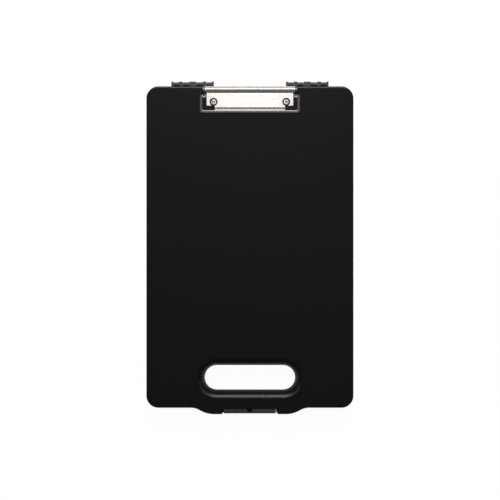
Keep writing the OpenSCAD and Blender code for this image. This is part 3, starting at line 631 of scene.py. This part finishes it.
def lip_profile(c, inset):
    """(sideways, upwards) places from the parting line up the lid's slot lip: a steep funnel, then
    a rounder crest that runs into the writing face. Inset goes into the wall."""
    deep = c.face - c.lid_bottom
    crest, joint, foot = c.slot_crest, math.radians(LIP_JOINT), math.radians(LIP_FOOT)
    across, drop = crest * math.sin(joint), crest * (1 - math.cos(joint))
    funnel = (deep - drop) / (math.cos(joint) - math.cos(foot))
    places = []
    for i in range(LIP_STEPS + 1):
        lean = foot + (joint - foot) * i / LIP_STEPS
        a = across + funnel * (math.sin(lean) - math.sin(joint))
        places.append((lean, a, drop + funnel * (math.cos(joint) - math.cos(lean))))
    for i in range(1, LIP_STEPS + 1):
        lean = joint * (1 - i / LIP_STEPS)
        places.append((lean, crest * math.sin(lean), crest * (1 - math.cos(lean))))
    reach = places[0][1]
    return [
        (c.slot_lip * (1 - a / reach) + inset * math.sin(t), c.face - d - inset * math.cos(t))
        for t, a, d in places
    ]


def quarter(radius, start, stop, steps):
    """(sideways, upwards) places on a quarter round whose middle is the origin."""
    return arc(0, 0, radius, start, stop, steps)


def case_loops(skin, c):
    """Two functions that add a level loop to a skin: one round the case and one in its slot."""

    def around(inset, notch, z, inner=False):
        return skin.loop((x, y, z) for x, y in outline(c, inset, notch, inner))

    def in_slot(grow, z):
        return skin.loop((x, y, z) for x, y in slot(c, grow))

    return around, in_slot


def lid_skin(c):
    """The lid's shell: outer wall, rounded edge, writing face, slot lip and the hollow inside."""
    skin, s, edge, top, low = Skin(), c.small_round, c.notch_round, c.face, c.lid_bottom
    around, in_slot = case_loops(skin, c)
    outer = [around(s - u, s - u, low + s - v) for u, v in quarter(s, 90, 0, 4)]
    for u, v in [(c.lid_round, c.lid_round - edge), *quarter(c.lid_round, 0, 90, 16)]:
        z = top - c.lid_round + v
        notch = edge - math.sqrt(max(edge * edge - max(z - top + edge, 0) ** 2, 0))
        outer.append(around(c.lid_round - u, notch, z))
    lip = [in_slot(s - u, low + s - v) for u, v in quarter(s, 90, 0, 4)]
    lip += [in_slot(grow, z) for grow, z in lip_profile(c, 0) if z > low + 1.5 * s]
    skin.bands(outer)
    skin.bands(lip)
    skin.cap(outer[-1], lip[-1])
    deep = top - c.wall
    collar = [in_slot(c.wall, low)]
    collar += [in_slot(grow, z) for grow, z in lip_profile(c, c.wall) if z > low + s and grow > c.wall]
    inside = [around(c.wall, c.wall, low, True)]
    for u, v in quarter(c.inner_round, 0, 90, 6):
        grow = c.wall + c.inner_round - u
        inside.append(around(grow, grow, deep - c.inner_round + v, True))
    skin.bands(collar)
    skin.bands(inside)
    skin.cap(inside[-1], collar[-1])
    skin.band(outer[0], inside[0])
    skin.band(lip[0], collar[0])
    return skin


def base_skin(c):
    """The base's shell: underside, rounded edge, outer wall, locating rim, slot collar and floor."""
    skin, s, top = Skin(), c.small_round, c.base_top
    around, in_slot = case_loops(skin, c)
    outer = []
    for u, v in quarter(c.base_round, 90, 0, 14):
        z = c.base_round - v
        notch = s - math.sqrt(max(s * s - max(s - z, 0) ** 2, 0))
        outer.append(around(c.base_round - u, notch, z))
    outer += [around(s - u, s - u, top - s + v) for u, v in quarter(s, 0, 90, 4)]
    rim_out, rim_in = c.wall + c.rim_gap, c.wall + c.rim_gap + c.rim_thick
    rim_top, soft = top + c.rim_high, c.rim_round
    places = [(rim_out, top)]
    places += [(rim_out + soft - u, rim_top - soft + v) for u, v in quarter(soft, 0, 90, 3)]
    places += [(rim_in - soft + u, rim_top - soft + v) for u, v in quarter(soft, 90, 0, 3)]
    places += [(rim_in, top - c.rim_root), (c.wall, top - c.rim_root)]
    rim = [around(inset, inset, z, True) for inset, z in places]
    for u, v in quarter(c.inner_round, 0, 90, 6):
        grow = c.wall + c.inner_round - u
        rim.append(around(grow, grow, c.wall + c.inner_round - v, True))
    r, lean = c.slot_lip, 1 - c.slot_draft / c.slot_lip
    lip = [in_slot(r - u * lean, r - v) for u, v in quarter(r, 90, 0, 28)]
    lip += [in_slot(s - u, top - s + v) for u, v in quarter(s, 0, 90, 4)]
    collar = [in_slot(c.wall, top)]
    collar += [in_slot(r - u * lean, r - v) for u, v in quarter(r - c.wall, 0, 90, 16)]
    skin.bands(outer)
    skin.bands(rim)
    skin.band(outer[-1], rim[0])
    skin.bands(lip)
    skin.bands(collar)
    skin.band(lip[-1], collar[0])
    skin.cap(outer[0], lip[0])
    skin.cap(rim[-1], collar[-1])
    return skin


def fin_outline(h, c, up):
    """A hinge fin's side view, round the pin, with a foot that runs into the case's wall."""
    r, k = h.radius, h.fin_round
    foot = -(r + h.gap + c.wall / 2)
    shape = [
        *arc(0, 0, r, 180, FULL, 24),
        (r, h.fin_high - k),
        *arc(r - k, h.fin_high - k, k, 0, 90, 8),
        (foot, h.fin_high),
        (foot, c.small_round / 2),
        (-r - h.gap, c.small_round / 2),
        (-r - h.gap, 0),
    ]
    return [(h.y + y, h.z + (z if up else -z)) for y, z in shape]


def new_tree(name, **inputs):
    """An empty Geometry Nodes tree, its inputs' sockets and its output. The named inputs come
    after the geometry, by kind."""
    tree = bpy.data.node_groups.new(name, "GeometryNodeTree")
    face = tree.interface
    face.new_socket("Geometry", in_out="INPUT", socket_type="NodeSocketGeometry")
    for kind, titles in {**inputs, "Material": ["Material"]}.items():
        for title in titles:
            face.new_socket(title, in_out="INPUT", socket_type=f"NodeSocket{kind}")
    face.new_socket("Geometry", in_out="OUTPUT", socket_type="NodeSocketGeometry")
    given, out = tree.nodes.new("NodeGroupInput"), tree.nodes.new("NodeGroupOutput")
    return tree, given.outputs, out


def end_tree(tree, given, out, shape):
    """Ends a tree: makes its copies real and gives them their material."""
    real = add(tree, "GeometryNodeRealizeInstances", {}, shape).outputs["Geometry"]
    dressed = add(tree, "GeometryNodeSetMaterial", {}, real, Material=given["Material"])
    tree.links.new(dressed.outputs["Geometry"], out.inputs["Geometry"])
    return tree


def leaf_tree():
    """Geometry Nodes that set one fin at each point, as wide as the point says, less a trim."""
    tree, given, out = new_tree("Hinge leaves", Object=["Fin"], Float=["Trim"])
    width = add(tree, "GeometryNodeInputNamedAttribute", {"data_type": "FLOAT", "Name": "width"})
    fin = add(tree, "GeometryNodeObjectInfo", {}, Object=given["Fin"])
    trim = add(tree, "ShaderNodeMath", {"operation": "SUBTRACT"}, width.outputs["Attribute"], given["Trim"])
    size = add(tree, "ShaderNodeCombineXYZ", {"Y": 1.0, "Z": 1.0}, X=trim.outputs["Value"])
    copies = add(
        tree,
        "GeometryNodeInstanceOnPoints",
        {},
        Points=given["Geometry"],
        Instance=fin.outputs["Geometry"],
        Scale=size.outputs["Vector"],
    )
    return end_tree(tree, given, out, copies.outputs["Instances"])


def run_tree(piece, tree, **inputs):
    """Puts a tree on a piece, sets its inputs by their sockets' identifiers, and settles it."""
    step = piece.modifiers.new(tree.name, "NODES")
    step.node_group = tree
    for socket in tree.interface.items_tree:
        if socket.in_out == "INPUT" and socket.name in inputs:
            step[socket.identifier] = inputs[socket.name]
    return settled(piece)


def hinge_leaves(h, c, up, spans):
    """The fins of both hinges on one half of the case, their edges broken. They are copies of a
    fin one metre wide, so a copy's scale is its width."""
    unit = Skin()
    unit.prism(fin_outline(h, c, up), -0.5, 0.5)
    fin = unit.piece("fin")
    points = bpy.data.meshes.new("fin_places")
    places = [(side * h.middle + (a + b) / 2, b - a) for side in (-1, 1) for a, b in spans]
    points.from_pydata([(x, 0, 0) for x, _ in places], [], [])
    points.attributes.new("width", "FLOAT", "POINT").data.foreach_set("value", [w for _, w in places])
    trim = 0.0 if up else 2 * h.side_gap
    leaves = run_tree(
        store("leaves", points), leaf_tree(), Fin=fin, Material=material("case_polypropylene"), Trim=trim
    )
    bpy.data.objects.remove(fin)
    return rounded(leaves, h.edge)


def hinge_spans(h, lid):
    """From and to of each fin in a hinge: the lid's fins, or the gaps between them, which the
    base's knuckles fill."""
    half, arm = h.width / 2, h.fin_arm / 2
    right = [(h.fin_arm_x - arm, h.fin_arm_x + arm), (half - h.fin_end, half)]
    fins = [*((-b, -a) for a, b in reversed(right)), (-h.fin_mid / 2, h.fin_mid / 2), *right]
    return fins if lid else [(a[1], b[0]) for a, b in zip(fins, fins[1:])]


def pin_bores(h):
    """Cutters for the hinge pins, closed by a skin at the ends that face the case's middle."""
    cutter = Skin()
    for side in (-1, 1):
        ends = sorted(side * (h.middle + e) for e in (-h.width / 2 + h.skin, h.width / 2 + PAST))
        cutter.turned([(e, h.bore) for e in ends], (0, h.y, h.z), steps=32)
    return cutter


def textured(piece, c):
    """Gives a half of the case the writing face's texture. The hinges keep the smooth finish. The crests
    that face the lamps, on the upper edge and on the slot's lower lip, keep it too, and there its raised
    specular level is a painted highlight."""
    piece.data.materials.append(material("board_texture"))
    steep, flat, towards_lamps = 0.77, 0.999, 0.1
    for face in piece.data.polygons:
        # Only crests that tilt towards the lamps keep the glossy finish: a painted highlight.
        crest = steep < face.normal.z < flat and face.normal.y > towards_lamps
        if not crest and face.center.y < c.top:
            face.material_index = len(piece.data.materials) - 1


def sizes():
    """The three groups of sizes."""
    scene = bpy.context.scene
    return scene.clipbox_case, scene.clipbox_hinge, scene.clipbox_clip


class CLIPBOX_OT_base(bpy.types.Operator):
    """Builds the base tray with its rim, divider and hinge knuckles"""

    bl_idname = "clipbox.base"
    bl_label = "Base tray"

    def execute(self, context):
        c, h, _ = sizes()
        tray = base_skin(c).piece("case_base")
        divider = Skin()
        x = c.width / 2 - c.wall / 2
        y = c.divider_y
        divider.box((-x, y, c.wall - BITE), (x, y + c.divider_thick, c.wall + c.divider_high))
        wall = rounded(divider.piece("divider"), c.small_round, segments=3)
        combine(tray, wall, "UNION")
        combine(tray, hinge_leaves(h, c, False, hinge_spans(h, False)), "UNION")
        cheeks = Skin()
        round_off = arc(h.flap_face + c.base_round, c.base_round, c.base_round, 180, 270, 8)
        inside = c.notch_y + c.wall / 2
        shape = [(h.flap_face, c.base_top), *round_off, (inside, 0), (inside, c.base_top)]
        for side in (-1, 1):
            cheeks.prism(shape, side * (c.notch_half - h.cheek), side * (c.notch_half + c.wall / 2))
        combine(tray, rounded(cheeks.piece("cheeks"), CRISP), "UNION")
        cutter = pin_bores(h)
        reach = c.notch_half + 2 * c.notch_side
        cutter.turned([(-reach, h.flap_bore), (reach, h.flap_bore)], (0, h.flap_y, h.flap_z), steps=32)
        combine(tray, cutter.piece("bores"), "DIFFERENCE")
        finished(tray, material("case_polypropylene"), "base", ["base_tray"])
        textured(tray, c)
        return {"FINISHED"}


class CLIPBOX_OT_lid(bpy.types.Operator):
    """Builds the lid with the writing face, the hinge fins and the latch rib"""

    bl_idname = "clipbox.lid"
    bl_label = "Lid and writing board"

    def execute(self, context):
        c, h, k = sizes()
        lid = lid_skin(c).piece("case_lid")
        combine(lid, hinge_leaves(h, c, True, hinge_spans(h, True)), "UNION")
        rib = Skin()
        half, start = h.flap_slot / 2 - h.slot_gap, h.flap_y + 0.2 * MM
        rib.box(
            (h.flap_shift - half, start, c.lid_bottom),
            (h.flap_shift + half, c.notch_y + c.wall / 2, h.flap_top - h.flap_head),
        )
        combine(lid, rounded(rib.piece("rib"), h.edge), "UNION")
        cutter = pin_bores(h)
        hole = k.rivet_shank + SLIP
        for side in (-1, 1):
            place = (side * k.rivet_x, k.rivet_y, c.face)
            cutter.turned([(-2 * c.wall, hole), (c.wall, hole)], place, "Z")
        half = h.flap_width / 2
        place = (0, c.notch_y, h.flap_top - h.flap_head / 2)
        cutter.turned([(-half, h.catch), (half, h.catch)], place, steps=24)
        combine(lid, cutter.piece("holes"), "DIFFERENCE")
        finished(lid, material("case_polypropylene"), "lid", ["lid_board"])
        textured(lid, c)
        return {"FINISHED"}


class CLIPBOX_OT_latch(bpy.types.Operator):
    """Builds the latch flap with its bead, its slot and its ribs"""

    bl_idname = "clipbox.latch"
    bl_label = "Latch flap"

    def execute(self, context):
        _, h, _ = sizes()
        r, t = h.flap_knuckle, h.flap_thick
        top, head, edge = h.flap_top - h.flap_z, h.flap_reach - r, h.flap_round
        under, soft = top - h.flap_head, h.flap_soft
        crook = math.degrees(math.acos((t - r) / r))
        shape = [
            *arc(0, 0, r, 180, FULL + crook, 40),
            (t - r, under),
            (head, under),
            *arc(head, top - h.flap_head / 2, h.flap_bead, -90, 90, 6),
            *arc(head - soft, top - h.flap_slope - soft, soft, 0, 90, 6),
            *arc(edge - r, top - edge, edge, 90, 180, 10),
        ]
        flap = Skin()
        x0, x1 = h.flap_shift - h.flap_width / 2, h.flap_shift + h.flap_width / 2
        flap.prism([(h.flap_y + y, h.flap_z + z) for y, z in shape], x0, x1)
        piece = flap.piece("latch_cover")
        ribs, rib, quarters = Skin(), h.flap_rib, h.flap_width / 4
        back = h.flap_y + t - r
        deep = (h.flap_reach - t) * 0.8
        for x in (x0, h.flap_shift - quarters, h.flap_shift + quarters - rib, x1 - rib):
            ribs.box((x, back - BITE, h.flap_z), (x + rib, back + deep, h.flap_z + under + BITE))
        combine(piece, ribs.piece("ribs"), "UNION")
        cutter, bore = Skin(), [(x0 - PAST, h.flap_bore), (x1 + PAST, h.flap_bore)]
        cutter.turned(bore, (0, h.flap_y, h.flap_z), steps=32)
        cutter.box(
            (h.flap_shift - h.flap_slot / 2, back, h.flap_z + r + PAST),
            (h.flap_shift + h.flap_slot / 2, h.flap_y + 2 * r, h.flap_top + PAST),
        )
        combine(piece, cutter.piece("slots"), "DIFFERENCE")
        rounded(piece, CRISP)
        finished(piece, material("latch_polypropylene"), "latch", ["latch_flap"])
        return {"FINISHED"}


# ---------- the clip ----------


def pad_outline(k, grow, outer):
    """The right-hand corner pad, seen from above, with its outer corner cut off. Its inner sides
    are grown by grow and its outer ones by outer."""
    far, front, cut = k.pad_x + outer, k.pad_y - outer, k.pad_cut
    back, mid = k.pad_back + grow, k.pad_inner + grow
    inner, left = k.pad_x - k.pad_side - grow, k.pad_x - k.pad_front - grow
    return [
        (far - cut, front),
        (far, front + cut),
        (far, back),
        (inner, back),
        (inner, mid),
        (left, mid),
        (left, front),
    ]


def clamp_skin(k):
    """The pressed sheet: a turned-down rim on three sides, a ledge, a step and the raised panel."""
    skin, t, b = Skin(), k.sheet, k.bend
    step = (k.panel - k.ledge) / 2
    side, front = k.half - k.panel_half, k.panel_y - k.lip_y

    def rail(inset_x, inset_y, radius, z):
        """A line from the back, down the left side, along the front and up the right side."""
        x, y = k.half - inset_x, k.lip_y + inset_y
        points = [(x, k.rim_back), *arc(x - radius, y + radius, radius, FULL, 270, 12)]
        return skin.loop((px, py, z) for px, py in points + mirrored(points))

    def rim_rail(thick, turn):
        """A line on the rim, turned down as far as turn says, on the sheet's upper or lower side."""
        over, down = math.cos(math.radians(turn)), math.sin(math.radians(turn))
        inset_x = k.roll_side - (k.roll_side - thick) * over
        inset_y = k.roll_front - (k.roll_front - thick) * over
        radius = max(k.corner - (inset_x + inset_y) / 2, CRISP)
        return rail(inset_x, inset_y, radius, k.ledge - k.slope - b + (b - thick) * down)

    def bend_rail(inset, z):
        return rail(inset, inset - side + front, k.step_corner, z)

    mid, under = k.ledge + step, step + t
    turns = [90 * i / RIM_STEPS for i in range(RIM_STEPS + 1)]
    top = [rim_rail(0, turn) for turn in turns]
    top += [bend_rail(side - step + u, mid + v) for u, v in quarter(step, 270, FULL, 6)]
    top += [bend_rail(side + step + u, mid + v) for u, v in quarter(step, 180, 90, 6)[1:]]
    low = [rim_rail(t, turn) for turn in turns]
    stop = 270 + math.degrees(math.acos((mid - k.panel + t) / under))
    low += [bend_rail(side - step + u, mid + v) for u, v in quarter(under, 270, stop, 8)]
    skin.bands(top, closed=False)
    skin.bands(low, closed=False)
    skin.band(top[0], low[0], closed=False)
    back = k.y - k.tube + t / 2
    x_top = skin.points[top[-1][0]][0]
    x_low = skin.points[low[-1][0]][0]
    left, right = skin.loop([(x_top, back, k.panel), (-x_top, back, k.panel)])
    left_low, right_low = skin.loop([(x_low, back, k.panel - t), (-x_low, back, k.panel - t)])
    skin.cap([left, *top[-1], right])
    skin.cap([left_low, *low[-1], right_low])
    skin.faces += [
        (left, right, right_low, left_low),
        (top[-1][0], left, left_low, low[-1][0]),
        (top[-1][-1], right, right_low, low[-1][-1]),
    ]
    for end in (0, -1):
        skin.cap([line[end] for line in top] + [line[end] for line in reversed(low)])
    return skin


class CLIPBOX_OT_clamp(bpy.types.Operator):
    """Builds the clamp plate: rolled tube, raised panel, step and turned-down rim"""

    bl_idname = "clipbox.clamp"
    bl_label = "Clamp plate"

    def execute(self, context):
        c, _, k = sizes()
        plate = clamp_skin(k).piece("clip_clamp")
        tube, half, facets = Skin(), k.tube_length / 2, 96
        inner, shoulder = k.tube - k.sheet, k.tube - CRISP
        wall = [(-half, shoulder), (-half + CRISP, k.tube), (half - CRISP, k.tube), (half, shoulder)]
        wall += [(half, inner), (-half, inner)]
        rings = []
        for along, radius in wall:
            around = arc(k.y, k.z, radius, 0, FULL - FULL / facets, facets - 1)
            rings.append(tube.loop((along, y, z) for y, z in around))
        tube.bands(rings + rings[:1])
        combine(plate, tube.piece("tube"), "UNION")
        cutter, window = Skin(), pad_outline(k, k.pad_gap, k.pad_gap)
        for shape in (window, mirrored(window)):
            cutter.plate(shape, c.face, k.panel + PAST)
        combine(plate, cutter.piece("pad_windows"), "DIFFERENCE")
        cutter = Skin()
        half = k.turns * k.pitch / 2 + 1.5 * k.wire
        for side in (-1, 1):
            profile = [(0, k.rivet_hole), (k.panel - c.face + PAST, k.rivet_hole)]
            cutter.turned(profile, (side * k.rivet_x, k.rivet_y, c.face), "Z")
            x = sorted((side * (k.ear_x - k.ear_gap), side * (k.ear_x + k.plate + k.ear_gap)))
            cutter.box((x[0], k.ear_front - k.ear_gap, c.face), (x[1], k.rim_back + PAST, k.panel + PAST))
            cutter.box(
                (side * k.spring_x - half, k.y - k.tube - PAST, k.z - k.tube - PAST),
                (side * k.spring_x + half, k.y + k.tube + PAST, k.z - k.spring_floor),
            )
        combine(plate, cutter.piece("windows"), "DIFFERENCE")
        rounded(plate, k.edge, angle=50)
        finished(plate, material("nickel_plate"), "clamp", ["clip_clamp_plate"])
        return {"FINISHED"}


class CLIPBOX_OT_pads(bpy.types.Operator):
    """Builds the two rubber corner pads"""

    bl_idname = "clipbox.pads"
    bl_label = "Corner pads"

    def execute(self, context):
        c, _, k = sizes()
        low, inside, lap = c.face + k.pad_lift, 0.2 * MM, 0.08 * MM
        for name, turn in (("right", list), ("left", mirrored)):
            pad, foot = Skin(), Skin()
            pad.plate(turn(pad_outline(k, 0, 0)), low + inside, k.panel - k.pad_down)
            foot.plate(turn(pad_outline(k, lap, k.pad_foot)), low, k.ledge - k.sheet - k.pad_gap)
            piece = combine(pad.piece(f"clip_pad_{name}"), foot.piece("foot"), "UNION")
            rounded(piece, 0.3 * MM, segments=3)
            finished(piece, material("nitrile_rubber"), "clamp", [f"clip_corner_pad_{name}"])
        return {"FINISHED"}


class CLIPBOX_OT_fastening(bpy.types.Operator):
    """Builds the rivets, and finishes the base plate, the rod, the washers and the pins"""

    bl_idname = "clipbox.fastening"
    bl_label = "Rivets, rod and pins"

    def execute(self, context):
        c, _, k = sizes()
        foot = c.face + k.plate
        top = foot + k.rivet_high
        for name, side in (("left", -1), ("right", 1)):
            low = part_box(f"clip_rivet_{name}")[0].z
            soft, tail = k.rivet_round, low + k.rivet_tail
            profile = [(low, 0), (low, k.rivet_head - CRISP), (low + CRISP, k.rivet_head)]
            profile += [(tail, k.rivet_head), (tail, k.rivet_shank)]
            profile += [(foot, k.rivet_shank), (foot, k.rivet_head)]
            profile += [(top - soft + v, k.rivet_head - soft + u) for u, v in quarter(soft, 0, 90, 8)]
            for i in range(DIMPLE_STEPS, -1, -1):
                out = i / DIMPLE_STEPS
                profile.append((top - k.rivet_deep * math.sqrt(1 - out * out), k.rivet_dimple * out))
            rivet = Skin()
            rivet.turned(profile, (side * k.rivet_x, k.rivet_y, 0), "Z", steps=48)
            piece = rivet.piece(f"rivet_{name}")
            finished(piece, material("nickel_plate"), "lid", [f"clip_rivet_{name}"])
        for node, finish in (
            ("clip_base_plate", "oiled_steel"),
            ("clip_hinge_rod", "zinc_plate"),
            ("clip_washer_left", "zinc_plate"),
            ("clip_washer_right", "zinc_plate"),
            ("hinge_pin_left", "zinc_plate"),
            ("hinge_pin_right", "zinc_plate"),
            ("latch_pin", "zinc_plate"),
        ):
            mesh = frame["nodes"][node].data
            mesh.materials.clear()
            mesh.materials.append(material(finish))
        return {"FINISHED"}


def spring_tree():
    """Geometry Nodes that wind a torsion spring along X and give it its front leg."""
    floats = ["Coil radius", "Coil length", "Turns", "Wire radius"]
    vectors = ["Coil start", "Leg start", "Leg end"]
    tree, given, out = new_tree("Torsion spring", Float=floats, Vector=vectors)
    coil = add(
        tree,
        "GeometryNodeCurveSpiral",
        {"Resolution": 32},
        Rotations=given["Turns"],
        Start_Radius=given["Coil radius"],
        End_Radius=given["Coil radius"],
        Height=given["Coil length"],
    )
    laid = add(
        tree,
        "GeometryNodeTransform",
        {"Rotation": (0, math.pi / 2, 0)},
        Geometry=coil.outputs["Curve"],
        Translation=given["Coil start"],
    )
    leg = add(tree, "GeometryNodeCurvePrimitiveLine", {}, given["Leg start"], given["Leg end"])
    both = tree.nodes.new("GeometryNodeJoinGeometry")
    for part in (leg.outputs["Curve"], laid.outputs["Geometry"]):
        tree.links.new(part, both.inputs["Geometry"])
    ring = add(tree, "GeometryNodeCurvePrimitiveCircle", {"Resolution": 12}, Radius=given["Wire radius"])
    wire = add(
        tree,
        "GeometryNodeCurveToMesh",
        {"Fill Caps": True},
        Curve=both.outputs["Geometry"],
        Profile_Curve=ring.outputs["Curve"],
    )
    return end_tree(tree, given, out, wire.outputs["Mesh"])


class CLIPBOX_OT_springs(bpy.types.Operator):
    """Winds the two torsion springs inside the tube"""

    bl_idname = "clipbox.springs"
    bl_label = "Torsion springs"

    def execute(self, context):
        c, _, k = sizes()
        tree = spring_tree()
        coil, long = (k.rod + k.tube - k.sheet) / 2, k.turns * k.pitch
        wire = material("spring_wire")
        inputs = {
            "Coil radius": coil,
            "Coil length": long,
            "Turns": float(k.turns),
            "Wire radius": k.wire / 2,
            "Coil start": (-long / 2, 0, 0),
            "Leg start": (long / 2, 0, -coil),
            "Leg end": (long / 2, -k.spring_leg, c.face + k.plate + SLIP + k.wire / 2 - k.z),
            "Material": wire,
        }
        for name, side in (("left", -1), ("right", 1)):
            piece = store(f"spring_{name}", bpy.data.meshes.new(f"spring_{name}"))
            run_tree(piece, tree, **inputs)
            place = Matrix.Translation((side * k.spring_x, k.y, k.z)) @ Matrix.Diagonal((side, 1, 1, 1))
            piece.data.transform(place)
            if side < 0:
                piece.data.flip_normals()
            finished(piece, wire, "lid", [f"clip_spring_{name}"], angle=60)
        return {"FINISHED"}


# ---------- the studio ----------


def softbox(name, place, size, brightness, tint, turn):
    """A rectangular softbox that faces down, turned about X. Its watts follow from its brightness."""
    lamp = bpy.data.lights.new(name, "AREA")
    wide, high = size
    lamp.shape, lamp.size, lamp.size_y = "RECTANGLE", wide, high
    lamp.energy, lamp.color = brightness * math.pi * wide * high, linear(tint)[:3]
    light = bpy.data.objects.new(name, lamp)
    bpy.context.scene.collection.objects.link(light)
    light.location = place
    light.rotation_euler.x = math.radians(turn)
    light.visible_camera = False


def floor_material(tone):
    """Seamless paper that glows almost white to the eye and in reflections. The lamps add the
    rest, so that the object's faint shadow stays on it."""
    paper, tree, out = new_material("seamless_paper")
    path = add(tree, "ShaderNodeLightPath")
    seen = path.outputs["Is Camera Ray"]
    for ray in ("Is Glossy Ray", "Is Transmission Ray"):
        either = add(tree, "ShaderNodeMath", {"operation": "MAXIMUM"}, seen, path.outputs[ray])
        seen = either.outputs["Value"]
    plain = add(tree, "ShaderNodeBsdfDiffuse", {"Color": tone})
    faint = add(tree, "ShaderNodeBsdfDiffuse", {"Color": (0.2, 0.2, 0.2, 1)})
    glow = add(tree, "ShaderNodeEmission", {"Color": (1, 1, 1, 1), "Strength": 0.95})
    lit = add(tree, "ShaderNodeAddShader", {}, faint.outputs["BSDF"], glow.outputs["Emission"])
    mix = add(tree, "ShaderNodeMixShader", {}, seen, plain.outputs["BSDF"], lit.outputs["Shader"])
    tree.links.new(mix.outputs["Shader"], out.inputs["Surface"])
    return paper


def studio_world():
    """A dim grey room, a little lighter low down than overhead. The camera sees white everywhere."""
    world = bpy.data.worlds.new("studio")
    bpy.context.scene.world = world
    world.use_nodes = True
    tree = world.node_tree
    tree.nodes.clear()
    out = tree.nodes.new("ShaderNodeOutputWorld")
    place = add(tree, "ShaderNodeTexCoord").outputs["Generated"]
    height = add(tree, "ShaderNodeSeparateXYZ", {}, Vector=place)
    level = add(
        tree,
        "ShaderNodeMapRange",
        {"From Min": 0.02, "From Max": 0.2, "To Min": 0.2, "To Max": 0.14},
        Value=height.outputs["Z"],
    )
    path = add(tree, "ShaderNodeLightPath")
    strength = tree.nodes.new("ShaderNodeMix")
    strength.data_type = "FLOAT"
    tree.links.new(path.outputs["Is Camera Ray"], strength.inputs["Factor"])
    tree.links.new(level.outputs["Result"], strength.inputs[2])
    strength.inputs[3].default_value = 1.0
    back = add(tree, "ShaderNodeBackground", {"Color": (1, 1, 1, 1)}, Strength=strength.outputs[0])
    tree.links.new(back.outputs["Background"], out.inputs["Surface"])


class CLIPBOX_OT_stage(bpy.types.Operator):
    """Builds the floor, the lamps and the camera"""

    bl_idname = "clipbox.stage"
    bl_label = "Studio"

    def execute(self, context):
        scene = context.scene
        studio, tones = scene.clipbox_studio, scene.clipbox_finishes
        half, below = 30.0, 0.2 * MM
        corners = [(-half, -half, 0), (half, -half, 0), (half, half, 0), (-half, half, 0)]
        mesh = bpy.data.meshes.new("floor")
        mesh.from_pydata(corners, [], [(0, 1, 2, 3)])
        floor = store("floor", mesh)
        floor.location.z = -below
        mesh.materials.append(floor_material(tones.floor))
        studio_world()
        white, cool, warm = "#ffffff", "#f2efff", "#e8d8c0"
        for name, place, size, tint, turn in (
            ("sky", (0, 0.86, 1.8), (1.3, 1.76), cool, 0),
            ("near", (0, 0.63, 0.85), (0.5, 0.16), white, 0),
            ("strip", (0, 0.37, 1.7), (0.28, 0.18), white, 0),
            ("back", (0, 1.9, 1.0), (1.6, 1.4), cool, -90),
            ("fill", (0, -1.4, 1.8), (1.6, 1.6), warm, 0),
        ):
            softbox(name, place, size, getattr(studio, name), tint, turn)
        camera = bpy.data.objects.new("camera", bpy.data.cameras.new("camera"))
        scene.collection.objects.link(camera)
        camera.data.lens = studio.lens
        camera.location = (*PHOTO_MIDDLE, studio.distance)
        scene.camera = camera
        scene.view_settings.view_transform = "Standard"
        return {"FINISHED"}


class CLIPBOX_PT_panel(bpy.types.Panel):
    """Lists the pieces of the clipboard box"""

    bl_idname = "CLIPBOX_PT_panel"
    bl_label = "Storage clipboard box"
    bl_space_type = "VIEW_3D"
    bl_region_type = "UI"
    bl_category = "Clipboard box"

    def draw(self, context):
        for operator in OPERATORS:
            self.layout.operator(operator.bl_idname)
        for group in GROUPS:
            settings = getattr(context.scene, group)
            column = self.layout.column(heading=group)
            for key in type(settings).__annotations__:
                column.prop(settings, key)


GROUPS = {
    "clipbox_case": CaseSizes,
    "clipbox_hinge": HingeSizes,
    "clipbox_clip": ClipSizes,
    "clipbox_finishes": Finishes,
    "clipbox_studio": StudioSettings,
}
OPERATORS = (
    CLIPBOX_OT_stage,
    CLIPBOX_OT_base,
    CLIPBOX_OT_lid,
    CLIPBOX_OT_latch,
    CLIPBOX_OT_clamp,
    CLIPBOX_OT_pads,
    CLIPBOX_OT_fastening,
    CLIPBOX_OT_springs,
)


def register():
    for name, group in GROUPS.items():
        bpy.utils.register_class(group)
        setattr(bpy.types.Scene, name, bpy.props.PointerProperty(type=group))
    for piece in (*OPERATORS, CLIPBOX_PT_panel):
        bpy.utils.register_class(piece)


def unregister():
    for piece in (CLIPBOX_PT_panel, *reversed(OPERATORS)):
        bpy.utils.unregister_class(piece)
    for name, group in GROUPS.items():
        delattr(bpy.types.Scene, name)
        bpy.utils.unregister_class(group)


def main():
    for leftover in [o for o in bpy.data.objects if o.name in ("Cube", "Light", "Camera")]:
        bpy.data.objects.remove(leftover)
    register()
    for operator in OPERATORS:
        section, name = operator.bl_idname.split(".")
        getattr(getattr(bpy.ops, section), name)()
    bpy.context.view_layer.update()


if __name__ == "__main__":
    main()
